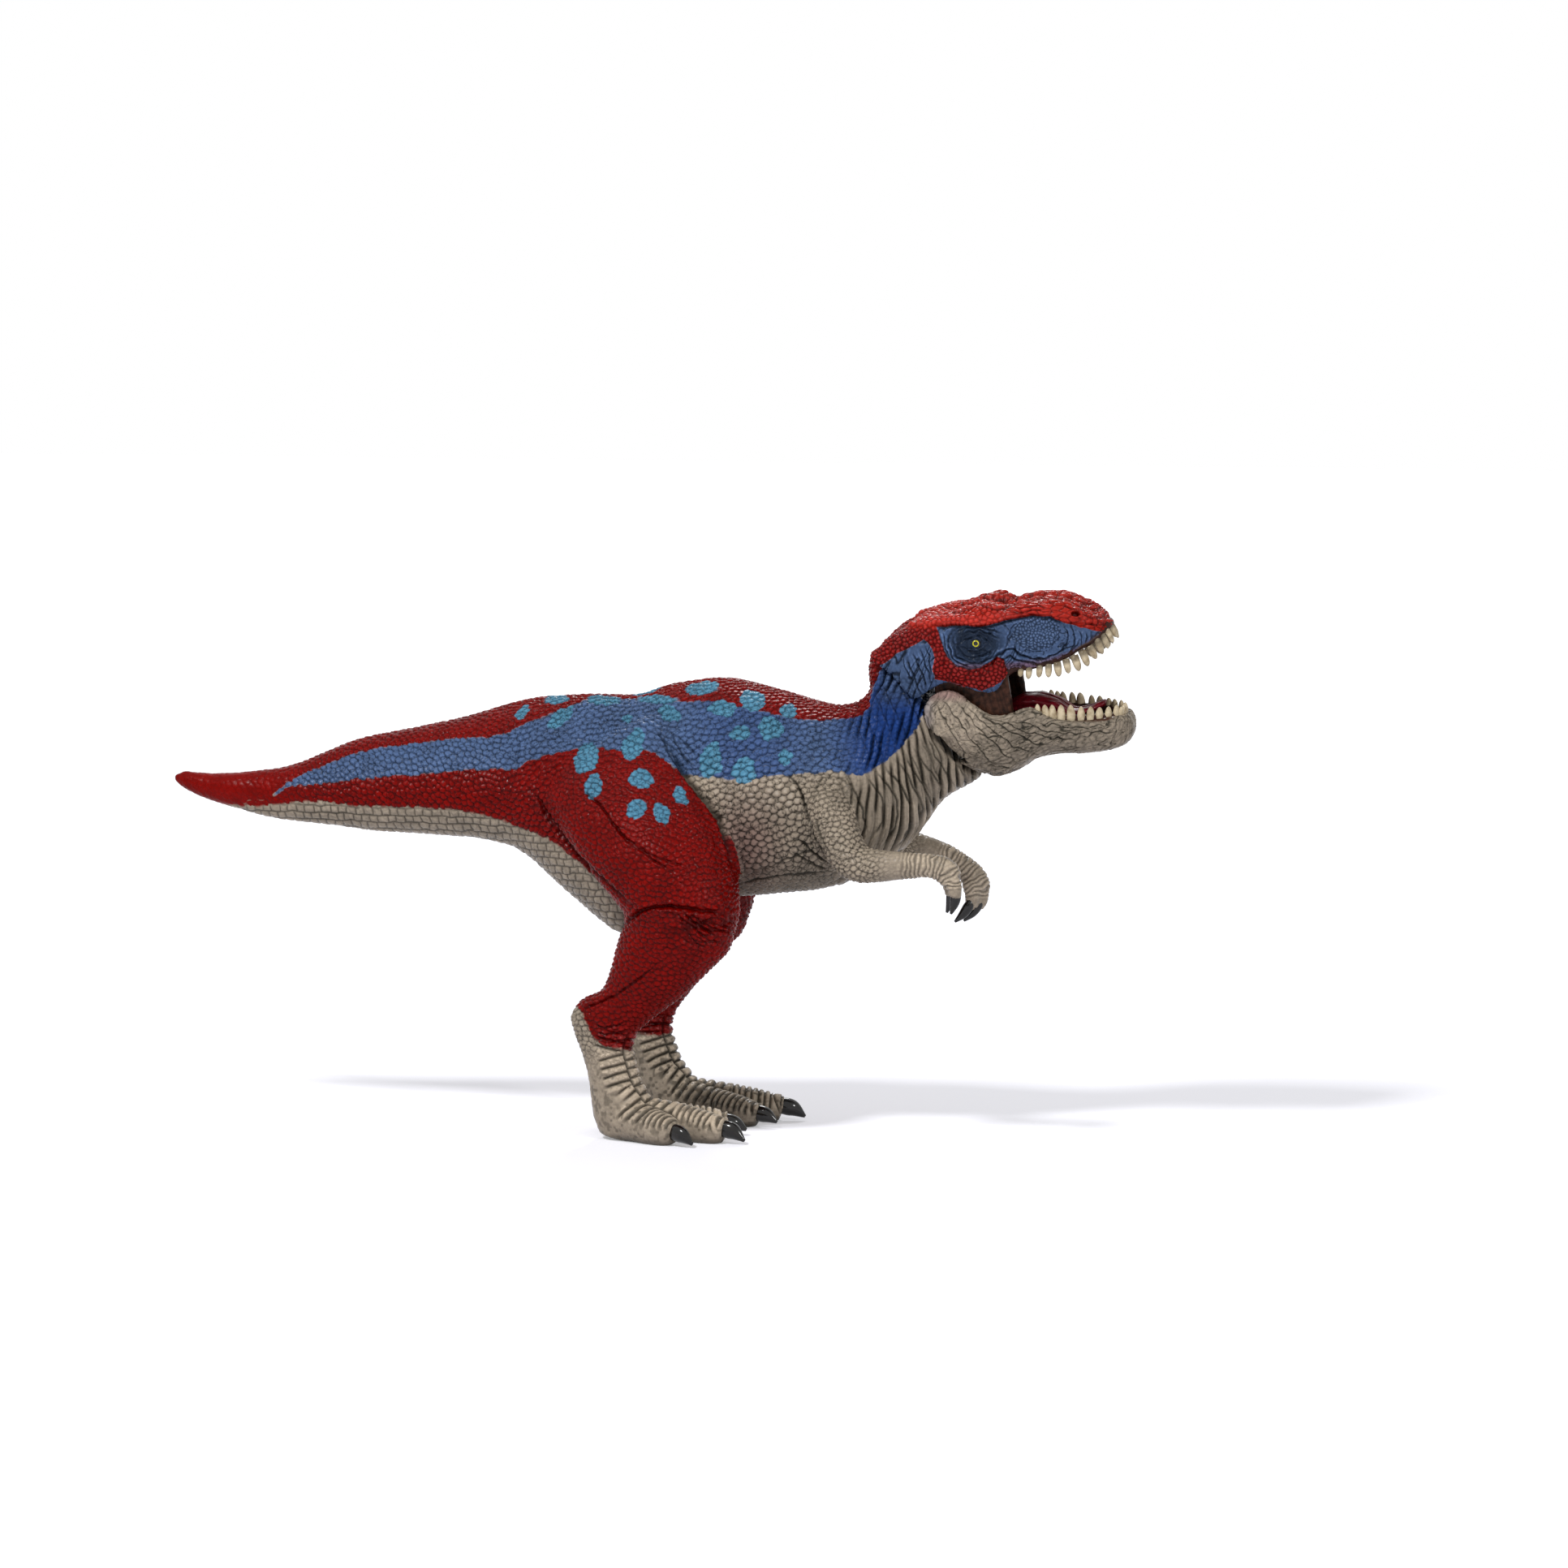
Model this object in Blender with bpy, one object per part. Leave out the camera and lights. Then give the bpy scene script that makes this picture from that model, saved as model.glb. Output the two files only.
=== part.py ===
"""Toy dinosaur figure that stands on two legs, with a lower jaw that opens and closes.

Metres, +Z up, snout towards +X, the figure's right side towards -Y. The origin is on the ground under
the middle of the figure. Pieces of the head are built around the jaw pivot, in the head's own frame.
"""

import math

import bmesh
import bpy
import numpy as np
from mathutils import Matrix

# Whole figure
FIGURE_LENGTH = 0.280
STANDING_HEIGHT = 0.1545
BODY_WIDTH = 0.043
HIP_WIDTH = 0.070
SEAM_GAP = 0.0003

# Moulded pegs that hold limbs, tail and head in the trunk
HIP_PEG_RADIUS = 0.005
SHOULDER_PEG_RADIUS = 0.003
TAIL_PEG_RADIUS = 0.006
NECK_PLUG_RADIUS = 0.004
PEG_DEPTH = 0.008

# Arms and feet
ARM_REACH = 0.038
FOOT_LENGTH = 0.044
STRIDE = 0.0045

# Head, measured from the jaw pivot
PIVOT_X_SHARE = 0.322
PIVOT_Z_SHARE = 0.790
HEAD_ROLL = math.radians(9.0)
SNOUT_REACH = 0.045
CROWN_RISE = 0.0325
HEAD_WIDTH = 0.030
LIP_WALL = 0.0017
EYE_RADIUS = 0.0023

# Jaw, its hinge and the mouth
JAW_REACH = 0.0502
JAW_DEPTH = 0.0194
JAW_WIDTH = 0.027
EAR_WALL = 0.0032
LOBE_RADIUS = 0.0067
PIN_RADIUS = 0.00125
PIN_CLEARANCE = 0.0001
PIN_BITE = 0.0021
THROAT_WALL = 0.0025
GUM_THICKNESS = 0.0030
GUM_WIDTH = 0.0144
TONGUE_WIDTH = 0.0098
TONGUE_THICKNESS = 0.0049

# Teeth
TOOTH_RADIUS = 0.00095
TOOTH_PITCH = 0.0024
UPPER_TOOTH_LENGTH = 0.0039
LOWER_TOOTH_LENGTH = 0.0046

# How far cutting blocks reach past what they cut, and how finely round pieces are drawn
OVERRUN = 0.02
BODY_STEPS = 2
RING_POINTS = 24
LIMB_POINTS = 18
SLIM_POINTS = 12
LOBE_POINTS = 32
ROD_TURN_SHARE = 0.25
SHARP_ANGLE = math.radians(50.0)

# Plain stand-in colours and roughness of the moulded, painted vinyl
SKIN_RED = (0.33, 0.03, 0.02)
SKIN_BLUE = (0.10, 0.12, 0.26)
SKIN_GREY = (0.34, 0.29, 0.24)
MOUTH_BROWN = (0.06, 0.03, 0.02)
TONGUE_RED = (0.15, 0.01, 0.01)
TOOTH_CREAM = (0.69, 0.58, 0.37)
SATIN = 0.42
GLOSS = 0.35
DULL = 0.50

# Trunk and tail from tail tip to neck: dorsal x and z, ventral x and z, width, turn with the head
BODY_SHARES = (
    (-0.500, 0.631, -0.498, 0.617, 0.03, 0),
    (-0.487, 0.638, -0.487, 0.606, 0.10, 0),
    (-0.457, 0.633, -0.457, 0.586, 0.16, 0),
    (-0.385, 0.646, -0.387, 0.555, 0.26, 0),
    (-0.337, 0.678, -0.340, 0.548, 0.34, 0),
    (-0.294, 0.707, -0.294, 0.539, 0.42, 0),
    (-0.204, 0.740, -0.200, 0.532, 0.55, 0),
    (-0.131, 0.779, -0.136, 0.517, 0.67, 0),
    (-0.071, 0.794, -0.092, 0.458, 0.83, 0),
    (-0.008, 0.795, -0.025, 0.361, 0.95, 0),
    (0.026, 0.815, 0.017, 0.360, 0.98, 0),
    (0.060, 0.825, 0.053, 0.404, 0.99, 0),
    (0.093, 0.828, 0.093, 0.434, 1.00, 0),
    (0.149, 0.806, 0.177, 0.448, 0.96, 0),
    (0.199, 0.783, 0.250, 0.495, 0.85, 0.15),
    (0.230, 0.800, 0.290, 0.583, 0.71, 0.45),
    (0.237, 0.838, 0.306, 0.618, 0.66, 0.75),
    (0.237, 0.883, 0.331, 0.646, 0.63, 1.00),
    (0.262, 0.918, 0.368, 0.684, 0.62, 1.00),
)
# The row where the tail meets the trunk, and how much narrower the body is at its back than at its belly
TAIL_SEAM_ROW = 7
RIDGE_SHARE = 0.10

# Right leg from hip to sole: rear x and z, front x and z, inner y, outer y, and the left leg's step
LEG_SHARES = (
    (-0.078, 0.672, 0.020, 0.768, 0.26, 0.52, -0.2),
    (-0.087, 0.620, 0.061, 0.715, 0.23, 0.70, -0.6),
    (-0.068, 0.565, 0.089, 0.623, 0.20, 0.89, -0.9),
    (-0.044, 0.511, 0.107, 0.551, 0.17, 0.99, -1.2),
    (-0.019, 0.458, 0.115, 0.485, 0.20, 1.00, -1.4),
    (0.004, 0.408, 0.118, 0.421, 0.29, 0.97, -1.5),
    (-0.007, 0.348, 0.107, 0.350, 0.37, 0.90, -1.7),
    (-0.014, 0.302, 0.085, 0.307, 0.41, 0.84, -1.9),
    (-0.023, 0.267, 0.057, 0.261, 0.43, 0.80, -1.3),
    (-0.045, 0.250, 0.031, 0.227, 0.44, 0.77, -0.6),
    (-0.056, 0.221, 0.013, 0.201, 0.46, 0.76, -0.2),
    (-0.050, 0.182, 0.005, 0.173, 0.46, 0.74, 0.0),
    (-0.043, 0.147, 0.008, 0.144, 0.46, 0.74, 0.1),
    (-0.037, 0.113, 0.013, 0.109, 0.44, 0.76, 0.2),
    (-0.034, 0.076, 0.022, 0.080, 0.41, 0.79, 0.4),
    (-0.031, 0.040, 0.030, 0.045, 0.40, 0.80, 0.8),
    (-0.024, 0.010, 0.034, -0.004, 0.44, 0.77, 1.0),
)
# Middle of the hip socket: x of the length, z of the height
HIP_SHARES = (0.007, 0.595)
HIP_PEG_END_SHARE = 0.78

# Toes with their claws: forward x, outward y from the foot's middle, height and radius, of FOOT_LENGTH
OUTER_TOE_SHARES = (
    (0.00, 0.05, 0.120, 0.125),
    (0.20, 0.17, 0.100, 0.107),
    (0.32, 0.24, 0.086, 0.092),
    (0.37, 0.27, 0.092, 0.062),
    (0.45, 0.31, 0.074, 0.042),
    (0.525, 0.345, 0.026, 0.008),
)
MIDDLE_TOE_SHARES = (
    (0.08, 0.00, 0.130, 0.135),
    (0.32, 0.02, 0.112, 0.118),
    (0.50, 0.055, 0.095, 0.100),
    (0.61, 0.085, 0.082, 0.087),
    (0.65, 0.095, 0.098, 0.064),
    (0.73, 0.11, 0.082, 0.044),
    (0.81, 0.13, 0.028, 0.008),
)
INNER_TOE_SHARES = (
    (0.04, -0.05, 0.125, 0.130),
    (0.27, -0.13, 0.105, 0.110),
    (0.43, -0.195, 0.090, 0.094),
    (0.54, -0.23, 0.080, 0.082),
    (0.58, -0.24, 0.094, 0.058),
    (0.65, -0.255, 0.080, 0.040),
    (0.72, -0.27, 0.042, 0.008),
)
# Middle of the foot from the middle of the figure, of half the hip width
FOOT_Y_SHARE = 0.585

# Shoulder: x of the length, z of the height, y of half the body width, end of its peg in the arm
SHOULDER_SHARES = (0.200, 0.621)
SHOULDER_Y_SHARE = 0.73
SHOULDER_PEG_END_SHARE = 0.16
# Arms from the shoulder: forward x, outward y, z and radius, of ARM_REACH
RIGHT_ARM_SHARES = (
    (0.00, 0.00, 0.00, 0.150),
    (0.08, 0.09, -0.13, 0.155),
    (0.16, 0.145, -0.29, 0.150),
    (0.26, 0.17, -0.43, 0.135),
    (0.40, 0.18, -0.455, 0.115),
    (0.58, 0.18, -0.450, 0.097),
    (0.74, 0.18, -0.445, 0.080),
    (0.84, 0.18, -0.445, 0.076),
    (0.94, 0.175, -0.475, 0.088),
    (0.99, 0.17, -0.55, 0.072),
)
LEFT_ARM_SHARES = (
    (0.00, 0.00, 0.00, 0.150),
    (0.08, 0.09, -0.13, 0.155),
    (0.15, 0.145, -0.27, 0.150),
    (0.25, 0.17, -0.39, 0.135),
    (0.38, 0.18, -0.425, 0.115),
    (0.53, 0.18, -0.450, 0.097),
    (0.68, 0.18, -0.495, 0.082),
    (0.80, 0.18, -0.56, 0.076),
    (0.90, 0.175, -0.65, 0.086),
    (0.95, 0.17, -0.74, 0.070),
)
# Fingers from the last point of the arm: forward x, outward y, z and radius
RIGHT_FINGER_SHARES = (
    (-0.03, 0.030, 0.07, 0.055),
    (0.03, 0.035, -0.04, 0.046),
    (0.03, 0.035, -0.12, 0.034),
    (0.00, 0.035, -0.22, 0.007),
)
LEFT_FINGER_SHARES = (
    (-0.02, 0.030, 0.07, 0.055),
    (0.00, 0.035, -0.05, 0.046),
    (-0.03, 0.035, -0.13, 0.034),
    (-0.10, 0.035, -0.22, 0.007),
)
# The second finger's place from the first
SECOND_FINGER_SHARES = (-0.05, -0.085, -0.005)

# Skull from nape to snout: x of SNOUT_REACH, bottom and top of CROWN_RISE, width of HEAD_WIDTH
SKULL_SHARES = (
    (-0.60, -0.1, 0.415, 0.70),
    (-0.49, -0.1, 0.495, 0.78),
    (-0.39, 0.0, 0.625, 0.84),
    (-0.28, 0.1, 0.720, 0.92),
    (-0.20, 0.13, 0.775, 0.95),
    (-0.10, 0.22, 0.820, 0.98),
    (0.00, 0.283, 0.840, 0.995),
    (0.08, 0.258, 0.870, 1.),
    (0.17, 0.215, 0.915, 1.),
    (0.24, 0.194, 0.933, 0.98),
    (0.30, 0.205, 0.905, 0.935),
    (0.34, 0.265, 0.897, 0.89),
    (0.37, 0.33, 0.897, 0.865),
    (0.41, 0.367, 0.925, 0.82),
    (0.50, 0.386, 0.960, 0.77),
    (0.62, 0.42, 0.975, 0.73),
    (0.72, 0.475, 0.960, 0.68),
    (0.81, 0.548, 0.905, 0.62),
    (0.88, 0.59, 0.840, 0.52),
    (0.94, 0.665, 0.785, 0.38),
    (0.98, 0.705, 0.755, 0.21),
    (1.00, 0.720, 0.745, 0.12),
)
# Section across the skull from crown to underside: y of the half width, z from bottom to top
SKULL_SECTION_SHARES = (
    (0.00, 0.95), (0.30, 0.96), (0.58, 1.00), (0.79, 0.94), (0.90, 0.78), (0.93, 0.60),
    (1.00, 0.38), (1.00, 0.18), (0.94, 0.04), (0.80, 0.00), (0.40, 0.00), (0.00, 0.00),
)
# Eye: x of SNOUT_REACH, y of half the head width, z of CROWN_RISE; then the rings of the ball, of its radius
EYE_SHARES = (0.188, 0.87, 0.62)
EYE_RING_SHARES = (-0.95, -0.7, 0.0, 0.7, 0.95)

# Seam between neck and head, from nape to throat: x of SNOUT_REACH, z of CROWN_RISE
SEAM_SHARES = (
    (-0.54, 0.64), (-0.505, 0.45), (-0.36, 0.34), (-0.25, 0.185), (-0.169, 0.006),
    (-0.133, -0.123), (-0.098, -0.246), (-0.022, -0.40), (0.067, -0.54), (0.30, -0.78),
)

# Mouth lining, seen from the side: x of SNOUT_REACH, z of CROWN_RISE
LINING_ROOF_SHARE = 0.53
LINING_SHARES = (
    (-0.093, -0.105), (0.400, -0.105), (0.400, -0.01), (0.370, 0.31), (0.375, LINING_ROOF_SHARE),
    (-0.093, LINING_ROOF_SHARE),
)
# Where the throat inside the lining begins, and the two ends of the neck plug
TUNNEL_X_SHARE = 0.11
PLUG_SHARES = ((-0.20, 0.40), (-0.42, 0.10))

# Lower jaw from hinge to chin: x of JAW_REACH, bottom and top of JAW_DEPTH, width of JAW_WIDTH
JAW_SHARES = (
    (-0.105, -0.26, 0.17, 1.00),
    (-0.06, -0.50, 0.29, 1.00),
    (0.00, -0.72, 0.335, 1.00),
    (0.06, -0.86, 0.29, 1.00),
    (0.12, -0.94, 0.18, 1.00),
    (0.18, -0.98, 0.07, 1.00),
    (0.25, -1.00, -0.02, 1.00),
    (0.33, -0.94, 0.00, 0.95),
    (0.39, -0.85, 0.06, 0.92),
    (0.445, -0.76, 0.107, 0.88),
    (0.49, -0.71, 0.055, 0.85),
    (0.56, -0.66, -0.04, 0.81),
    (0.65, -0.645, -0.10, 0.77),
    (0.78, -0.63, -0.10, 0.71),
    (0.88, -0.595, -0.07, 0.61),
    (0.95, -0.52, -0.065, 0.46),
    (0.985, -0.42, -0.11, 0.30),
    (1.00, -0.32, -0.20, 0.16),
)
# Section across the jaw from its top edge to its keel
JAW_SECTION_SHARES = (
    (0.00, 1.00), (0.50, 1.00), (0.93, 1.00), (1.00, 0.90), (1.00, 0.66), (0.92, 0.36),
    (0.74, 0.14), (0.45, 0.03), (0.00, 0.00),
)
# Trough inside the jaw: x of JAW_REACH, floor of JAW_DEPTH, width of the space between the ears
TROUGH_SHARES = (
    (-0.40, -0.74, 1.00),
    (0.28, -0.74, 1.00),
    (0.40, -0.62, 1.00),
    (0.45, -0.52, 0.90),
    (0.50, -0.42, 0.76),
    (0.57, -0.31, 0.71),
    (0.78, -0.29, 0.60),
    (0.86, -0.28, 0.50),
    (0.925, -0.27, 0.32),
)
BOX_SECTION_SHARES = ((0.0, 1.0), (1.0, 1.0), (1.0, 0.0), (0.0, 0.0))

# Gum plates: x of the reach that carries them, outline width of GUM_WIDTH
LOWER_GUM_SHARES = (
    (0.52, 1.00), (0.57, 0.97), (0.68, 0.90), (0.78, 0.81), (0.86, 0.67), (0.915, 0.42),
)
LOWER_GUM_TOP_SHARE = -0.12
PALATE_SECTION_SHARES = (
    (0.00, 1.00), (0.55, 1.00), (1.00, 1.00), (1.00, 0.00), (0.72, 0.00), (0.55, 0.62), (0.00, 0.70),
)
PALATE_SPAN_SHARES = (0.415, 0.955)
PALATE_STATIONS = 9

# Tongue from root to tip: x of JAW_REACH, bottom and top of TONGUE_THICKNESS, width of TONGUE_WIDTH
TONGUE_SHARES = (
    (0.26, 0.08, 0.60, 0.60),
    (0.34, 0.00, 0.84, 0.88),
    (0.46, 0.00, 1.00, 1.00),
    (0.56, 0.00, 0.71, 0.94),
    (0.65, 0.00, 0.38, 0.86),
    (0.74, 0.06, 0.50, 0.74),
    (0.80, 0.27, 0.78, 0.56),
    (0.84, 0.55, 0.92, 0.30),
)
TONGUE_SIDES = 6
# Length of each tooth from the back of its row to the front
UPPER_TOOTH_SHARES = (0.48, 0.60, 0.72, 0.92, 1.00, 0.95)
LOWER_TOOTH_SHARES = (0.80, 0.95, 1.00, 0.98, 0.80, 0.62)
# A tooth from root to tip: height of its length, radius of TOOTH_RADIUS; then its lean at the back and front
TOOTH_PROFILE_SHARES = ((-0.18, 1.00), (0.45, 0.92), (0.80, 0.66), (1.00, 0.28))
TOOTH_LEAN_SHARES = (-0.10, -0.05, 0.05, 0.40)
TOOTH_INSET_SHARE = 1.15
TOOTH_SIDES = 6

PIVOT_X = PIVOT_X_SHARE * FIGURE_LENGTH
PIVOT_Z = PIVOT_Z_SHARE * STANDING_HEIGHT
HEAD_FRAME = Matrix.Translation((PIVOT_X, 0, PIVOT_Z)) @ Matrix.Rotation(HEAD_ROLL, 4, "X")
EAR_INNER_WIDTH = JAW_WIDTH - 2 * EAR_WALL
LINING_WIDTH = EAR_INNER_WIDTH - 2 * SEAM_GAP
TOOTH_INSET = TOOTH_INSET_SHARE * TOOTH_RADIUS


def clear_scene():
    for item in list(bpy.data.objects):
        bpy.data.objects.remove(item)


def smooth_rows(rows, steps):
    """Rows of numbers with more rows between them, on a curve that passes through each given row."""
    rows = np.array(rows, float)
    padded = np.vstack((2 * rows[0] - rows[1], rows, 2 * rows[-1] - rows[-2]))
    result = []
    for i in range(len(rows) - 1):
        a, b, c, d = padded[i : i + 4]
        for step in range(steps):
            t = step / steps
            result.append(0.5 * (2 * b + (c - a) * t + (2 * a - 5 * b + 4 * c - d) * t**2
                                 + (3 * b - a - 3 * c + d) * t**3))
    result.append(rows[-1])
    return np.array(result)


def new_object(name, points, faces):
    mesh = bpy.data.meshes.new(name)
    mesh.from_pydata([tuple(point) for point in points], [], faces)
    work = bmesh.new()
    work.from_mesh(mesh)
    bmesh.ops.triangulate(work, faces=work.faces)
    bmesh.ops.recalc_face_normals(work, faces=work.faces)
    work.to_mesh(mesh)
    work.free()
    made = bpy.data.objects.new(name, mesh)
    bpy.context.scene.collection.objects.link(made)
    return made


def loft(name, rings):
    """Closed skin over rings that hold the same number of points."""
    count = len(rings[0])
    points = [point for ring in rings for point in ring]
    faces = [list(range(count)), [len(points) - count + i for i in range(count)]]
    for row in range(len(rings) - 1):
        for i in range(count):
            j = (i + 1) % count
            faces.append([row * count + i, row * count + j, (row + 1) * count + j, (row + 1) * count + i])
    return new_object(name, points, faces)


def combine(target, tool, operation):
    """Joins the tool to the target, or cuts it out, and keeps only the target."""
    change = target.modifiers.new(operation, "BOOLEAN")
    change.operation = operation
    change.solver = "EXACT"
    change.object = tool
    bpy.context.view_layer.update()
    result = bpy.data.meshes.new_from_object(target.evaluated_get(bpy.context.evaluated_depsgraph_get()))
    target.modifiers.clear()
    target.data = result
    bpy.data.objects.remove(tool)
    return target


def unite(target, tool):
    return combine(target, tool, "UNION")


def cut(target, tool):
    return combine(target, tool, "DIFFERENCE")


def body_point(x_share, z_share, y=0.0):
    return np.array((x_share * FIGURE_LENGTH, y, z_share * STANDING_HEIGHT))


def turned(points, angle):
    """Points turned about the line along the figure through the jaw pivot."""
    axle = np.array((0, 0, PIVOT_Z))
    x, y, z = (points - axle).T
    return np.column_stack((x, y * math.cos(angle) - z * math.sin(angle),
                            y * math.sin(angle) + z * math.cos(angle))) + axle


def body_rings(rows, grow=0.0):
    rings = []
    for dorsal_x, dorsal_z, ventral_x, ventral_z, width, turn in rows:
        top = body_point(dorsal_x, dorsal_z)
        bottom = body_point(ventral_x, ventral_z)
        middle = (top + bottom) / 2
        rise = (top - bottom) / 2
        rise = rise * (1 + grow / np.linalg.norm(rise))
        half_width = width * BODY_WIDTH / 2 + grow
        ring = []
        for i in range(RING_POINTS):
            angle = math.tau * i / RING_POINTS
            side = half_width * math.sin(angle) * (1 - RIDGE_SHARE * math.cos(angle))
            ring.append(middle + rise * math.cos(angle) + np.array((0, side, 0)))
        rings.append(turned(np.array(ring), turn * HEAD_ROLL))
    return rings


def ring_normal(ring):
    """Unit direction square to a body ring, towards the head."""
    across = ring[RING_POINTS // 4] - ring[3 * RING_POINTS // 4]
    up = ring[0] - ring[RING_POINTS // 2]
    normal = np.cross(across, up)
    return normal / np.linalg.norm(normal)


def least_aligned(direction):
    """The unit axis that lies furthest from a direction."""
    return np.eye(3)[np.argmin(np.abs(direction))]


def rod(name, start, end, radius, points=LIMB_POINTS):
    """Round rod between two places."""
    axis = np.array(end, float) - np.array(start, float)
    axis = axis / np.linalg.norm(axis)
    side = np.cross(axis, least_aligned(axis))
    side = side / np.linalg.norm(side)
    up = np.cross(side, axis)
    rings = []
    for centre in (start, end):
        ring = []
        for i in range(points):
            angle = math.tau * (i + ROD_TURN_SHARE) / points
            ring.append(centre + radius * (side * math.cos(angle) + up * math.sin(angle)))
        rings.append(ring)
    return loft(name, rings)


def tube(name, rows):
    """Slim round tube along rows of x, y, z and radius."""
    rows = np.array(rows, float)
    path = rows[:, :3]
    rings = []
    side = least_aligned(path[1] - path[0])
    for i, (centre, radius) in enumerate(zip(path, rows[:, 3])):
        along = path[min(i + 1, len(path) - 1)] - path[max(i - 1, 0)]
        along = along / np.linalg.norm(along)
        side = side - along * np.dot(side, along)
        side = side / np.linalg.norm(side)
        up = np.cross(along, side)
        ring = []
        for j in range(SLIM_POINTS):
            angle = math.tau * j / SLIM_POINTS
            ring.append(centre + radius * (side * math.cos(angle) + up * math.sin(angle)))
        rings.append(ring)
    return loft(name, rings)


def extruded(name, outline, half_width):
    """Solid with an outline of x and z, from one side of the figure to the other."""
    rings = []
    for side in (-half_width, half_width):
        rings.append([(x, side, z) for x, z in outline])
    return loft(name, rings)


def sections(name, rows, section):
    """Skin over upright sections: rows of x, bottom z, top z and half width."""
    rings = []
    for x, bottom, top, half_width in rows:
        right = [(x, -y * half_width, bottom + z * (top - bottom)) for y, z in section]
        left = [(x, -y, z) for x, y, z in right[-2:0:-1]]
        if section[-1][0] > 0:
            left = [(x, -y, z) for x, y, z in right[:0:-1]]
        rings.append(right + left)
    return loft(name, rings)


def in_head(piece):
    piece.matrix_world = HEAD_FRAME
    return piece


def seam_block(name, shift, towards_head):
    """Everything on one side of the seam between neck and head, with the seam moved forward by shift."""
    line = [(x * SNOUT_REACH + shift, z * CROWN_RISE) for x, z in SEAM_SHARES]
    (first_x, first_z), (last_x, last_z) = line[0], line[-1]
    if towards_head:
        front, above = last_x + OVERRUN, first_z + OVERRUN
        far = [(front, last_z), (front, above), (first_x, above)]
    else:
        behind, below = first_x - OVERRUN, last_z - OVERRUN
        far = [(last_x, below), (behind, below), (behind, first_z)]
    return in_head(extruded(name, line + far, HEAD_WIDTH))


def neck_plug(name, radius, extra):
    """Peg on the back of the skull, or its socket where extra lengthens it."""
    start, end = (np.array((x * SNOUT_REACH, 0, z * CROWN_RISE)) for x, z in PLUG_SHARES)
    end = end + (end - start) / np.linalg.norm(end - start) * extra
    return in_head(rod(name, start, end, radius))


def hip_peg(name, side, radius, extra):
    x, _, z = body_point(*HIP_SHARES)
    outer = HIP_PEG_END_SHARE * HIP_WIDTH / 2
    inner = BODY_WIDTH / 2 - PEG_DEPTH - extra
    return rod(name, np.array((x, side * inner, z)), np.array((x, side * outer, z)), radius)


def shoulder_place(side):
    x, _, z = body_point(*SHOULDER_SHARES)
    return np.array((x, side * SHOULDER_Y_SHARE * BODY_WIDTH / 2, z))


def shoulder_peg(name, side, radius, extra):
    outer = shoulder_place(side)
    inner = outer - np.array((0, side * (PEG_DEPTH + extra), 0))
    return rod(name, inner, outer + np.array((0, side * SHOULDER_PEG_END_SHARE * ARM_REACH, 0)), radius)


def tail_peg(name, ring, radius, extra):
    normal = ring_normal(ring)
    middle = (ring[0] + ring[RING_POINTS // 2]) / 2
    return rod(name, middle - normal * TAIL_PEG_RADIUS, middle + normal * (PEG_DEPTH + extra), radius)


def make_trunk():
    rings = body_rings(smooth_rows(BODY_SHARES, BODY_STEPS)[TAIL_SEAM_ROW * BODY_STEPS :])
    trunk = loft("trunk", rings)
    cut(trunk, seam_block("seam", 0.0, True))
    cut(trunk, neck_plug("neck_socket", NECK_PLUG_RADIUS + SEAM_GAP, SEAM_GAP))
    cut(trunk, tail_peg("tail_socket", rings[0], TAIL_PEG_RADIUS + SEAM_GAP, SEAM_GAP))
    for side in (-1, 1):
        cut(trunk, hip_peg("hip_socket", side, HIP_PEG_RADIUS + SEAM_GAP, SEAM_GAP))
        cut(trunk, shoulder_peg("shoulder_socket", side, SHOULDER_PEG_RADIUS + SEAM_GAP, SEAM_GAP))
    return trunk


def trunk_space():
    """The trunk's outer form with the seam gap around it, to be cut from what is fitted to it."""
    return loft("trunk_space", body_rings(smooth_rows(BODY_SHARES, BODY_STEPS), SEAM_GAP))


def make_tail():
    rings = body_rings(smooth_rows(BODY_SHARES, BODY_STEPS)[: TAIL_SEAM_ROW * BODY_STEPS + 1])
    rings[-1] = rings[-1] - ring_normal(rings[-1]) * SEAM_GAP
    return unite(loft("tail", rings), tail_peg("tail_peg", rings[-1], TAIL_PEG_RADIUS, 0.0))


def leg_rings(side, step):
    rings = []
    for rear_x, rear_z, front_x, front_z, inner, outer, forward in LEG_SHARES:
        rear = body_point(rear_x, rear_z)
        front = body_point(front_x, front_z)
        middle = (rear + front) / 2 + np.array((forward * step, side * (inner + outer) * HIP_WIDTH / 4, 0))
        reach = (front - rear) / 2
        half_width = (outer - inner) * HIP_WIDTH / 4
        ring = []
        for i in range(LIMB_POINTS):
            angle = math.tau * i / LIMB_POINTS
            ring.append(middle + reach * math.cos(angle) + np.array((0, half_width * math.sin(angle), 0)))
        rings.append(ring)
    return rings


def make_toe(shares, side, step):
    rows = []
    for forward, outward, height, radius in shares:
        x = forward * FOOT_LENGTH + step
        y = side * (FOOT_Y_SHARE * HIP_WIDTH / 2 + outward * FOOT_LENGTH)
        rows.append((x, y, height * FOOT_LENGTH, radius * FOOT_LENGTH))
    return tube("toe", smooth_rows(rows, BODY_STEPS))


def ground_block():
    outline = ((-FIGURE_LENGTH, -OVERRUN), (FIGURE_LENGTH, -OVERRUN), (FIGURE_LENGTH, 0), (-FIGURE_LENGTH, 0))
    return extruded("ground", outline, FIGURE_LENGTH)


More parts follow.
